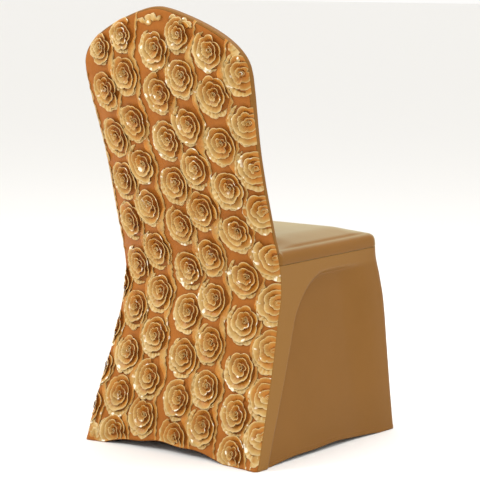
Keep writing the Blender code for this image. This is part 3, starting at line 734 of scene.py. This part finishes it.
def spandex(name, sheen, painted_sheen):
    """Dull gold stretch knit. The last argument is how pale it turns at a low angle: a painted sheen."""
    material, tree, shader = shader_material(name, 0.45, sheen, 0.12)
    shader.inputs["Sheen Tint"].default_value = KNIT_SHEEN
    broad = noise_at(tree, object_place(tree), 7.0)
    # Paler on the strips drawn tight over the leg and seat frame, partly painted light on them
    drawn = mixed(tree, vertex_share(tree, "stretch"), ramp(tree, broad, KNIT_TONES), KNIT_TIGHT_AND_LIT)
    fine = noise_at(tree, object_place(tree), 900.0, 1.0)
    flecked = mixed(tree, ramp(tree, fine, FLECK_STOPS), drawn, KNIT_FLECK)
    # Painted sheen: paler towards a grazing view, a reflection painted into the colour
    facing = new_node(tree, "ShaderNodeLayerWeight", Blend=0.5).outputs["Facing"]
    low_angle = ramp(tree, facing, ((0.55, (0.0, 0.0, 0.0)), (0.92, (painted_sheen, painted_sheen, painted_sheen))))
    tree.links.new(mixed(tree, low_angle, flecked, KNIT_PAINTED_SHEEN), shader.inputs["Base Color"])
    bump(tree, shader, ((knit_height(tree, KNIT_PITCH), 0.18, 0.0002), (broad, 0.10, 0.004)))
    return material


def satin_ground():
    """Orange-brown satin between the rosettes."""
    material, tree, shader = shader_material("rosette_ground", 0.42, 0.02, 0.12)
    shader.inputs["Sheen Tint"].default_value = GROUND_SHEEN
    broad = noise_at(tree, object_place(tree), 26.0)
    tree.links.new(ramp(tree, broad, GROUND_TONES), shader.inputs["Base Color"])
    fine = noise_at(tree, object_place(tree, (1, 1, 0.25)), 1500.0, 1.0)
    pucker = noise_at(tree, object_place(tree), 90.0, 2.0)
    bump(tree, shader, ((fine, 0.12, 0.0002), (pucker, 0.30, 0.0025)))
    return material


def satin_ribbon():
    """Pale gold satin ribbon, amber where sewn down and cream along its free edge, as painted shade and
    painted highlight, with painted glints.
    """
    material, tree, shader = shader_material("rosette_ribbon", 0.38, 0.02, 0.22)
    shader.inputs["Sheen Tint"].default_value = RIBBON_SHEEN
    crest = vertex_share(tree, "crest")
    patches = ramp(tree, noise_at(tree, object_place(tree), 45.0, 2.0), RIBBON_PATCHES)
    shaded = mixed(tree, 1.0, ramp(tree, crest, RIBBON_TONES), patches, "MULTIPLY")
    # Painted glints: bright spots of noise along the free edge, standing for highlights on the satin
    glint_spots = ramp(tree, noise_at(tree, object_place(tree), 62.0, 1.0), GLINT_STOPS)
    painted_glints = mixed(tree, 1.0, glint_spots, ramp(tree, crest, FREE_EDGE_STOPS), "MULTIPLY")
    tree.links.new(mixed(tree, painted_glints, shaded, RIBBON_GLINT), shader.inputs["Base Color"])
    weave = noise_at(tree, object_place(tree, (1, 1, 0.3)), 1800.0, 1.0)
    crease = noise_at(tree, object_place(tree), 260.0, 2.0)
    bump(tree, shader, ((weave, 0.10, 0.0002), (crease, 0.22, 0.0012)))
    return material


def plain_relief(point):
    """Slight slackness of the stretched knit."""
    broad = noise.noise(point * 9.0)
    small = noise.noise(point * 38.0)
    return 0.0005 * broad + 0.00015 * small


def ground_relief(point):
    """Puckers in the satin where the ribbon draws it."""
    broad = noise.noise(point * 30.0)
    small = noise.noise(Vector((point.x * 95.0, point.y * 95.0, point.z * 70.0)))
    return 0.0006 * broad + 0.0004 * small


def seam_angle(z, side):
    """Where a panel ends on the rounded rear edge: the back panel on side -1, the others on side 1."""
    return curve(SEAM_ANGLE, 1, z) + side * math.degrees(SEAM_GAP / 2 / EDGE_RADIUS)


def borders(outline, rows):
    """The left, top and right borders of a back's face, inside its rounded edge."""
    border = [inset(place, direction, EDGE_RADIUS) for place, direction in outline]
    return border[:rows], border[rows - 1:-rows + 1], border[-rows:][::-1]


def turned_in(outline, side):
    """The allowance behind the rear seam."""
    return [rear_rounding(place, out, seam_angle(place[1], side), TURN_IN) for place, out in outline]


def back_cloth(material):
    """The satin ground, from the hem to the crown."""
    heights = list(np.linspace(HEM_LIFT, SEAT_SEAM_Z, LOW_ROWS))
    heights += list(np.linspace(JUNCTION_Z, SHOULDER_Z, HIGH_ROWS))
    outline = back_outline(heights, BACK_COLUMNS)
    left, top, right = borders(outline, len(heights))
    floor_half = half_width(0.0) - EDGE_RADIUS
    shares = spread(BACK_COLUMNS)
    bottom = [(share * floor_half, float(rear_hem(share * floor_half))) for share in shares]
    flat = filled_grid(bottom, top, left, right)
    x, z = flat[..., 0], flat[..., 1]
    grid = np.stack([x, rear_face(x, z), z], -1)
    rings = []
    for share in (0.25, 0.5, 0.75, 1.0):
        rings.append([rear_rounding(p, out, seam_angle(p[1], -1) * share) for p, out in outline])
    rings.append(turned_in(outline, -1))
    bm = grid_mesh(grid, rings)
    return add_cloth("back_ground", bm, (0, 1, 0), ground_relief, material, "back_panel")


def inside_back_cloth(material):
    """The plain front of the back, turned over its sides and top to the seam behind."""
    outlines = []
    for start in INSIDE_BACK_STARTS:
        heights = np.linspace(JUNCTION_Z + start, SHOULDER_Z, HIGH_ROWS)
        outlines.append(back_outline(heights, BACK_COLUMNS))
    left, top, right = borders(outlines[0], HIGH_ROWS)
    bottom = [(share * -left[0][0], left[0][1]) for share in spread(BACK_COLUMNS)]
    flat = filled_grid(bottom, top, left, right)
    x, z = flat[..., 0], flat[..., 1]
    grid = np.stack([x, front_face(x, z), z], -1)
    rings = []
    for angle, outline in ((22.0, 0), (45.0, 1), (68.0, 1), (90.0, 2)):
        rings.append([front_rounding(place, direction, angle) for place, direction in outlines[outline]])
    for outline, share in ((3, 0.75), (3, 0.5), (4, 0.25), (4, 0.0)):
        ring = []
        for place, direction in outlines[outline]:
            seam = seam_angle(place[1], 1)
            ring.append(rear_rounding(place, direction, seam + (90.0 - seam) * share))
        rings.append(ring)
    rings.append(turned_in(outlines[4], 1))
    bm = grid_mesh(grid, rings)
    return add_cloth(
        "inside_back_cloth", bm, (0, -1, 0), plain_relief, material, "inside_back"
    )


def skirt_rows(hem):
    """Heights of a skirt's rows, and how far the turned-up hem makes the cloth stand out there."""
    low = hem + HEM_ROWS
    high = np.linspace(low[-1], SEAT_SEAM_Z - SEAM_GAP / 2, SKIRT_ROWS)[1:]
    z = np.concatenate([low, high])
    return z, HEM_FOLD * (1 - ease((z - hem - HEM_WIDTH) / HEM_STEP))


def side_skirt_cloth(name, side, node, material):
    """A plain side from the rear seam to the seam on the front corner."""
    floor_length = float(side_length(0.0))
    columns = []
    seam = float(seam_angle(SIDE_SEAM_Z, 1))
    corner_turns = [(seam, TURN_IN)] + [(angle, 0.0) for angle in np.linspace(seam, 90.0, 5)]
    heights, outward = skirt_rows(HEM_LIFT)
    for angle, depth in corner_turns:
        line = []
        for z, out in zip(heights, outward):
            line.append(rear_rounding((half_width(z), z), (1.0, 0.0), angle, depth - out))
        columns.append(line)
    field_start = LEG_STRIP + LEG_FOLD
    field_length = floor_length - 2 * FRONT_STRIP - field_start
    for place in np.linspace(SIDE_START, floor_length, SIDE_COLUMNS):
        z, out = skirt_rows(float(skirt_hem(place, floor_length)))
        share = ease((place - field_start) / field_length)
        forward = place + share * (side_length(z) - floor_length)
        x, y = side_point(forward, z)
        columns.append(list(zip(x + out, y, z)))
    last = FRONT_SEAM_ANGLE - FRONT_SEAM_HALF
    for share, depth in ((0.25, 0), (0.5, 0), (0.75, 0), (1.0, 0), (1.0, TURN_IN)):
        x, y = front_arc(last * share, heights, depth - outward)
        columns.append(list(zip(x, y, heights)))
    grid = [[(side * p[0], p[1], p[2]) for p in line] for line in columns]
    bm = grid_mesh(grid)
    # The paler tone of the tight strips, partly painted light, fades towards the front
    stretch = bm.verts.layers.float.new("stretch")
    places = np.array([vertex.co for vertex in bm.verts])
    forward = rear_line(places[:, 2]) - EDGE_RADIUS - places[:, 1]
    to_front = ease((floor_length - forward) / (STRETCH_AND_LIGHT_FADE * floor_length))
    for vertex, share in zip(bm.verts, (1 - side_field(forward, places[:, 2])) * to_front):
        vertex[stretch] = share
    return add_cloth(name, bm, (side, 0, 0), plain_relief, material, node)


def front_skirt_cloth(material):
    """The plain front under the seat."""
    first = FRONT_SEAM_ANGLE + FRONT_SEAM_HALF
    half_columns = []
    heights, outward = skirt_rows(HEM_LIFT)
    for angle, depth in ((first, TURN_IN), (first, 0), ((first + 90) / 2, 0), (90.0, 0)):
        x, y = front_arc(angle, heights, depth - outward)
        half_columns.append(list(zip(x, y, heights)))
    _, floor_half, floor_radius = front_corner(0.0)
    for share in np.linspace(FRONT_START, 0.0, FRONT_COLUMNS):
        place = share * (floor_half - floor_radius)
        z, out = skirt_rows(float(skirt_hem(floor_half - place, 2 * floor_half)))
        front, half, radius = front_corner(z)
        x = share * (half - radius)
        y = front + front_recess(x, half - radius, z) - out
        half_columns.append(list(zip(x, y, z)))
    columns = half_columns + [[(-x, y, z) for x, y, z in line] for line in half_columns[-2::-1]]
    bm = grid_mesh(columns)
    return add_cloth(
        "front_skirt_cloth", bm, (0, -1, 0), plain_relief, material, "front_skirt"
    )


def rear_pocket_path(z, inward):
    """Along the back panel, round the rear corner and along the side, inside the cloth."""
    straight = POCKET_LEG - EDGE_RADIUS
    across = half_width(z) - EDGE_RADIUS - straight * np.linspace(1, 0.1, 6)
    points = [(x, rear_face(x, z) - inward) for x in across]
    reach = EDGE_RADIUS - inward
    for turn in np.radians(np.linspace(0, 90, 7)):
        x = half_width(z) - EDGE_RADIUS + reach * math.sin(turn)
        points.append((x, rear_line(z) - EDGE_RADIUS + reach * math.cos(turn)))
    for forward in straight * np.linspace(0.2, 1, 5):
        x, y = side_point(forward, z)
        points.append((x - inward, y))
    return points


def front_pocket_path(z, inward):
    """Along the side, round the front corner and along the front, inside the cloth."""
    front, front_half, radius = front_corner(z)
    straight = POCKET_LEG - radius
    points = []
    for back in straight * np.linspace(1, 0.2, 5):
        x, y = side_point(side_length(z) - back, z)
        points.append((x - inward, y))
    points += [front_arc(angle, z, inward) for angle in np.linspace(0, 90, 7)]
    for along in straight * np.linspace(0.2, 1, 5):
        points.append((front_half - radius - along, front + inward))
    return points


def pocket_cloth(name, side, path, node, material):
    """A small cup of cloth in a corner of the hem: its floor and its upstand inside two panels."""
    inward = POCKET_OFFSET + CLOTH
    levels = [(z, inward) for z in np.linspace(POCKET_RISE, POCKET_FOOT, 5)]
    levels += [(z, inward + further) for z, further in POCKET_FLOOR_ROWS]
    rows = [[(side * x, y, z) for x, y in path(z, depth)] for z, depth in levels]
    bm = grid_mesh(rows)
    last = list(bm.verts)[-len(rows[-1]):]
    middle = bm.verts.new((last[0].co + last[-1].co) / 2)
    for first, second in zip(last, last[1:]):
        bm.faces.new((first, second, middle))
    return add_cloth(name, bm, (0, 0, 1), lambda point: 0.0, material, node)


def seat_outline(z, inward):
    """The seat's plan outline at one height: its side on +X and its front row."""
    front, front_half, radius = front_corner(z)
    rear_y = rear_line(SEAT_EDGE_Z) - curve(BACK_THICKNESS, 1, SEAT_EDGE_Z)
    sides = []
    for y in np.linspace(rear_y, front + radius, SEAT_STEPS):
        share = (rear_line(z) - EDGE_RADIUS - y) / side_length(z)
        sides.append((mix(half_width(z), front_half, share) - inward, y))
    half_arc = np.linspace(0, 45, ARC_STEPS)
    sides += [front_arc(angle, z, inward) for angle in half_arc[1:]]
    row = [front_arc(45 + angle, z, inward) for angle in half_arc[:-1]]
    end = front_arc(90.0, z, inward)
    straight = [(end[0] * share, end[1]) for share in np.linspace(1, -1, SEAT_STEPS)]
    mirrored = [(-x, y) for x, y in reversed(row)]
    return sides, row + straight + mirrored


def seat_cloth(material):
    """The seat's top and its turned-down edge, down to the thin seam."""
    right, front_row = seat_outline(SEAT_EDGE_Z, SEAT_TOP_INSET)
    left = [(-x, y) for x, y in right]
    columns = len(front_row) - 1
    rear_half = right[0][0]
    rear_row = [(place[0] * rear_half / front_row[0][0], right[0][1]) for place in front_row]
    flat = filled_grid(rear_row, front_row, right, left)
    rows = len(flat) - 1
    c = np.arange(columns + 1)[None, :]
    r = np.arange(rows + 1)[:, None]
    across = np.minimum(c, columns - c) / (columns / 2)
    along = np.minimum(r, rows - r) / (rows / 2)
    crown = SEAT_CROWN * ease(across / SEAT_CROWN_REACH) * ease(along / SEAT_CROWN_REACH)
    grid = np.concatenate([flat, (SEAT_EDGE_Z + crown)[..., None]], -1)
    seam_turn = math.radians(seam_angle(JUNCTION_Z, 1))
    rings = []
    for inward, height, end_in, end_back, end_z in SEAT_RINGS:
        sides, front_edge = seat_outline(height, inward)
        if end_in is None:
            end_in = EDGE_RADIUS * (1 - math.sin(seam_turn)) + max(inward, 0.0)
            end_y = rear_line(end_z) - EDGE_RADIUS * (1 - math.cos(seam_turn))
        else:
            end_y = right[0][1] + end_back
        end = (half_width(end_z) - end_in, end_y, end_z)
        middle = [(x, y, height) for x, y in sides[1:] + front_edge[1:-1]]
        middle += [(-x, y, height) for x, y in sides[:0:-1]]
        rings.append([end] + middle + [(-end[0], end[1], end[2])])
    shift = SEAT_TURN_IN_SHIFT
    rings.append([(x * SEAT_TURN_IN, y * SEAT_TURN_IN + shift, z) for x, y, z in rings[-1]])
    bm = grid_mesh(grid, rings)
    return add_cloth("seat_cloth", bm, (0, 0, 1), plain_relief, material, "seat_panel")


def ribbon_grid(path, outward, lean, height, base, frill, section=RIBBON_SECTION):
    """A gathered strip in the flat frame (across, up, lift), from its sewn to its free edge.

    The frill moves the free edge outward and leaves the sewn edge where it is.
    """
    points = []
    for lean_share, height_share in section:
        freedom = ((lean_share + 1) / (section[-1][0] + 1)) ** FRILL_POWER
        place = path + outward * (lean * lean_share + frill * freedom)[:, None]
        lift = base + height * height_share - FRILL_DROP * frill * freedom**2
        points.append(np.concatenate([place, lift[:, None]], -1))
    return np.stack(points, 1)


def wander(rng, steps, waves, uneven):
    """The phase along a strip of so many waves whose pitch wanders, and their uneven depth."""
    t = np.linspace(0, 1, steps)
    phase = 2 * math.pi * waves * t + rng.uniform(0, PHASES)
    for k in PITCH_WAVES:
        phase = phase + uneven * waves / 10 * np.sin(2 * math.pi * k * t + rng.uniform(0, PHASES)) / k
    depth = 1 + uneven * np.sin(2 * math.pi * DEPTH_WAVES * t + rng.uniform(0, PHASES))
    return phase, depth


def ruffle(rng, steps, waves):
    """A wave along a strip, from about -1 to 1."""
    phase, depth = wander(rng, steps, waves, UNEVEN)
    return np.sin(phase) * depth


def lobes(rng, steps, count):
    """Rounded lobes along a strip with creases between them, about 0 on the whole."""
    phase, depth = wander(rng, steps, count / 2, LOBE_UNEVEN)
    return (np.abs(np.sin(phase)) ** LOBE_POWER - LOBE_MEAN) * depth


def directions(angle):
    """Unit steps across and up at each angle."""
    return np.stack([np.cos(angle), np.sin(angle)], -1)


def rose(rng, centre, size):
    """A rosette's ribbon, wound from the outside in: its strip in the flat frame and its tones."""
    steps = int(ROSE_TURNS * ROSE_STEPS_PER_TURN)
    t = np.linspace(0, 1, steps)
    angle = rng.uniform(0, 2 * math.pi) - 2 * math.pi * ROSE_TURNS * t
    share = 1.0 - ROSE_CLOSING * t**0.95
    gathers = ruffle(rng, steps, ROSE_TURNS * GATHERS_PER_TURN)
    swells = ruffle(rng, steps, ROSE_TURNS * SWELLS_PER_TURN)
    kinks = lobes(rng, steps, ROSE_TURNS * KINKS_PER_TURN) * KINK_DEPTH
    outer_frill = mix(LOW_FRILL, HIGH_FRILL, ease((centre[1] - HIGH_FROM_Z) / HIGH_FADE))
    frill = lobes(rng, steps, ROSE_TURNS * LOBES_PER_TURN) * mix(outer_frill, INNER_FRILL, t**0.7)
    open_side = np.cos(angle - FAN_ANGLE - rng.uniform(-0.4, 0.4))
    lean = mix(OUTER_LEAN, INNER_LEAN, t**0.8) * (1 + 0.38 * open_side) * (1 + 0.03 * gathers)
    height = mix(OUTER_HEIGHT, INNER_HEIGHT, t**0.8) * (1 + 0.05 * gathers + 0.16 * swells)
    base = mix(OUTER_BASE, INNER_BASE, t)
    radius_x = share * (ROSETTE_HALF_WIDTH - ROSE_INSETS[0]) * size + kinks
    radius_z = share * (ROSETTE_HALF_HEIGHT - ROSE_INSETS[1]) * size + kinks
    direction = directions(angle)
    path = np.array(centre) + ROSE_DRIFT * size * t[:, None]
    path = path + np.stack([radius_x, radius_z], -1) * direction
    # Paler towards the open side: painted light falling from that side
    pale = 0.10 + 0.42 * open_side + 0.10 * swells
    return ribbon_grid(path, direction, lean, height, base, frill), pale


def bud(rng, centre, size):
    """The rolled end of the ribbon in the middle of a rosette."""
    t = np.linspace(0, 1, BUD_STEPS)
    direction = directions(rng.uniform(0, PHASES) + 2 * math.pi * BUD_TURNS * t)
    radius = mix(*BUD_RADII, t) * size
    path = np.array(centre) + ROSE_DRIFT * size + direction * radius[:, None]
    lean = np.full(BUD_STEPS, BUD_LEAN)
    base = np.full(BUD_STEPS, BUD_BASE)
    grid = ribbon_grid(path, direction, lean, mix(*BUD_HEIGHTS, t), base, 0 * t)
    return grid, np.full(BUD_STEPS, BUD_PALE)


def petals(rng, centre, size):
    """Loose petals that lie flat beyond a rosette's open side."""
    fade = np.sin(math.pi * np.linspace(0, 1, FAN_STEPS)) ** 0.55
    angle = FAN_ANGLE + rng.uniform(-0.35, 0.35) + FAN_SPREAD * np.linspace(-1, 1, FAN_STEPS)
    direction = directions(angle)
    reach = np.array([ROSETTE_HALF_WIDTH, ROSETTE_HALF_HEIGHT]) * size + FAN_REACH
    path = np.array(centre) + reach * direction
    frill = FAN_FRILL * lobes(rng, FAN_STEPS, FAN_LOBES) * fade
    gathers = ruffle(rng, FAN_STEPS, FAN_GATHERS)
    lean = FAN_LEAN * size * fade * (1 + 0.04 * gathers)
    height = FAN_HEIGHT * (0.35 + 0.65 * fade) * (1 + 0.10 * gathers)
    base = np.full(FAN_STEPS, FAN_BASE)
    grid = ribbon_grid(path, direction, lean, height, base, frill, TAIL_SECTION)
    # The loose petals start pale: painted light on the open side
    return grid, FAN_PALE + 0.12 * gathers


def loose_ribbon(rng, path, ribbon_half, height):
    """A length of ribbon along a path in the flat frame. Half its width may change on the way."""
    steps = len(path)
    along = np.gradient(path, axis=0)
    length = float(np.linalg.norm(along, axis=1).sum())
    along /= np.linalg.norm(along, axis=1)[:, None]
    outward = np.stack([along[:, 1], -along[:, 0]], -1)

    def waves(table):
        return sum(depth * ruffle(rng, steps, length / pitch) for depth, pitch in table)

    wide = ribbon_half * (1 + waves(WIDTH_WAVES))
    high = height * (LOOSE_HEIGHT + waves(HEIGHT_WAVES))
    base = np.full(steps, LOOSE_BASE)
    return ribbon_grid(path, outward, wide, high, base, waves(EDGE_WAVES), TAIL_SECTION)


def tail(rng, centres):
    """The ribbon that runs down a column beside its rosettes, on the sitter's right."""
    heights = np.array([centre[1] for centre in centres])
    top = heights[0] + TAIL_ABOVE
    steps = int((top + TAIL_BELOW) / TAIL_STEP)
    z = np.linspace(top, -TAIL_BELOW, steps)
    row = np.interp(-z, -heights, np.arange(len(heights)), right=len(heights))
    gap = 0.5 - 0.5 * np.cos(2 * math.pi * row)
    beside = TAIL_BESIDE + TAIL_SWING * gap + 0.10 * ruffle(rng, steps, 5.0)
    path = np.stack([beside * ROSETTE_HALF_WIDTH, z], -1)
    ribbon_half = TAIL_HALF_WIDTH * (0.42 + 0.75 * gap * (1 + 0.5 * ruffle(rng, steps, 6.0)))
    pale = 0.36 + 0.20 * ruffle(rng, steps, 14.0)
    return loose_ribbon(rng, path, ribbon_half, TAIL_HEIGHT), pale


def short_ruffle(rng, start, end, ribbon_half):
    """A gathered end of ribbon between two places."""
    steps = RUFFLE_STEPS
    t = np.linspace(0, 1, steps)
    path = np.array(start) + (np.array(end) - np.array(start)) * t[:, None]
    path[:, 1] += RUFFLE_BEND * ruffle(rng, steps, 2.0)
    narrowing = np.sin(math.pi * t) ** 0.5 * (1 + 0.6 * lobes(rng, steps, 4.0))
    grid = loose_ribbon(rng, path, ribbon_half * narrowing, RUFFLE_HEIGHT)
    return grid, 0.60 + 0.10 * ruffle(rng, steps, 4.0)


def seam_ruffle(rng, shares):
    """The ribbon gathered along the seam beside the column next to it."""
    steps = int((SEAM_RUFFLE_TOP - SEAM_RUFFLE_FOOT) / TAIL_STEP)
    z = np.linspace(SEAM_RUFFLE_TOP, SEAM_RUFFLE_FOOT, steps)
    wave = SEAM_RUFFLE_BEND * ruffle(rng, steps, 15.0)
    across = half_width(z) - SEAM_RUFFLE_INSET + wave - between(shares, z) * half_width(z)
    fade = np.sin(math.pi * np.linspace(0, 1, steps)) ** 0.4
    ribbon_half = SEAM_RUFFLE_HALF * fade * (1 + 0.45 * ruffle(rng, steps, 9.0))
    grid = loose_ribbon(rng, np.stack([across, z], -1), ribbon_half, SEAM_RUFFLE_HEIGHT)
    return grid, 0.40 + 0.25 * ruffle(rng, steps, 12.0)


def between(ends, z):
    """A value between a column's top and its foot."""
    return ends[1] + (ends[0] - ends[1]) * z / ROW_Z[0]


def add_strip(bm, crest, strip, shares, tone):
    """Lays a strip on the back. Near a seam or the hem it is pressed flat, and it is cut there.

    The crest value runs from the pale share of each step, at the sewn edge, to 1 at the free edge.
    """
    grid, pale = strip
    z = grid[..., 1]
    x = between(shares, z) * half_width(z) + grid[..., 0]
    inside = np.minimum(edge_distance(x, z) - STRIP_MARGIN, z - rear_hem(x) - STRIP_MARGIN)
    z = np.clip(z, rear_hem(x) + STRIP_MARGIN, crown_edge(x) - 1.5 * STRIP_MARGIN)
    limit = half_width(z) - STRIP_MARGIN
    x = np.clip(x, -limit, limit)
    press = mix(STRIP_PRESSED, 1.0, ease(inside / STRIP_RISE))
    points = on_back(x, z, grid[..., 2] * press + STRIP_GAP)
    steps, columns = z.shape
    kept = inside > 0
    vertices = {}
    levels = np.linspace(0, 1, columns)

    def vertex(r, c):
        if (r, c) not in vertices:
            vertices[r, c] = bm.verts.new(points[r, c])
            # The crest value paints shade towards the sewn edge and highlight towards the free edge
            vertices[r, c][crest] = mix(max(pale[r], 0.0), 1.0, levels[c]) * tone
        return vertices[r, c]

    for r in range(steps - 1):
        for c in range(columns - 1):
            if kept[r:r + 2, c:c + 2].any():
                bm.faces.new((vertex(r, c), vertex(r + 1, c), vertex(r + 1, c + 1), vertex(r, c + 1)))


def rosette_strips(number, shares, shifts, rows, first_size, first_drop, cut_side, material):
    """One column of ribbon rosettes and the ribbon between them."""
    rng = np.random.default_rng(SEED + number)
    bm = bmesh.new()
    crest = bm.verts.layers.float.new("crest")
    centres = []
    for row in range(rows[0], rows[1] + 1):
        size = first_size if row == rows[0] else 1.0
        drop = first_drop if row == rows[0] else 0.0
        centre = (0.0, ROW_Z[row] + between(shifts, ROW_Z[row]) - drop)
        centres.append(centre)
        tone = rng.uniform(0.92, 1.0)
        for strip in (rose, bud, petals):
            add_strip(bm, crest, strip(rng, centre, size), shares, tone)
    if cut_side >= 0:
        add_strip(bm, crest, tail(rng, centres), shares, TAIL_TONE)
    if number == SEAM_RUFFLE_COLUMN:
        add_strip(bm, crest, seam_ruffle(rng, shares), shares, SEAM_RUFFLE_TONE)
    for column, start, end, ribbon_half in RUFFLES:
        if column == number:
            add_strip(bm, crest, short_ruffle(rng, start, end, ribbon_half), shares, 1.0)
    bm.normal_update()
    node = "rosette_column_" + str(number)
    return add_piece("ribbon_column_" + str(number), bm, material, node)


def aimed(thing, place, target):
    """Puts a camera or a light in the scene, looking at a target."""
    thing.location = place
    thing.rotation_euler = (target - Vector(place)).to_track_quat("-Z", "Y").to_euler()
    bpy.context.scene.collection.objects.link(thing)


def camera_and_light():
    """The photograph's viewpoint, soft light from above and behind, and a plain sky."""
    scene = bpy.context.scene
    camera = bpy.data.cameras.new("camera")
    camera.lens = CAMERA_LENS
    camera.sensor_width = CAMERA_SENSOR
    camera_object = bpy.data.objects.new("camera", camera)
    aimed(camera_object, CAMERA_PLACE, CAMERA_TARGET)
    scene.camera = camera_object

    for name, place, size, power in LIGHTS:
        light = bpy.data.lights.new(name, "AREA")
        light.shape = "DISK"
        light.size = size
        light.energy = power
        lamp = bpy.data.objects.new(name, light)
        lamp.visible_camera = False
        aimed(lamp, place, LIGHT_TARGET)

    world = bpy.data.worlds.new("studio")
    world.use_nodes = True
    background = world.node_tree.nodes["Background"]
    background.inputs["Color"].default_value = SKY_TONE
    background.inputs["Strength"].default_value = 1.0
    scene.world = world
    scene.view_settings.view_transform = "Standard"


def floor():
    """A pale floor."""
    reach = FLOOR_REACH
    mesh = bpy.data.meshes.new("floor")
    corners = [(-reach, -reach, 0), (reach, -reach, 0), (reach, reach, 0), (-reach, reach, 0)]
    mesh.from_pydata(corners, [], [(0, 1, 2, 3)])
    material, _, shader = shader_material("floor", 0.8, 0.0, 0.2)
    shader.inputs["Base Color"].default_value = FLOOR_TONE
    mesh.materials.append(material)
    piece = bpy.data.objects.new("floor", mesh)
    bpy.context.scene.collection.objects.link(piece)


def build():
    plain = spandex("plain_spandex", 0.01, 0.0)
    # The seat's knit gets a stronger painted sheen where it is seen at a low angle
    sheened_seat_knit = spandex("plain_spandex_seat", 0.10, 0.52)
    ground = satin_ground()
    ribbon = satin_ribbon()
    columns = [rosette_strips(*column, ribbon) for column in COLUMNS]
    back = back_cloth(ground)
    inside = inside_back_cloth(plain)
    seat = seat_cloth(sheened_seat_knit)
    right = side_skirt_cloth("skirt_right_cloth", -1, "skirt_right", plain)
    left = side_skirt_cloth("skirt_left_cloth", 1, "skirt_left", plain)
    front = front_skirt_cloth(plain)
    for side, side_name in ((-1, "right"), (1, "left")):
        for path, end_name in ((rear_pocket_path, "rear"), (front_pocket_path, "front")):
            node = "foot_pocket_" + end_name + "_" + side_name
            pocket_cloth(node + "_cloth", side, path, node, plain)
    floor()
    camera_and_light()


build()
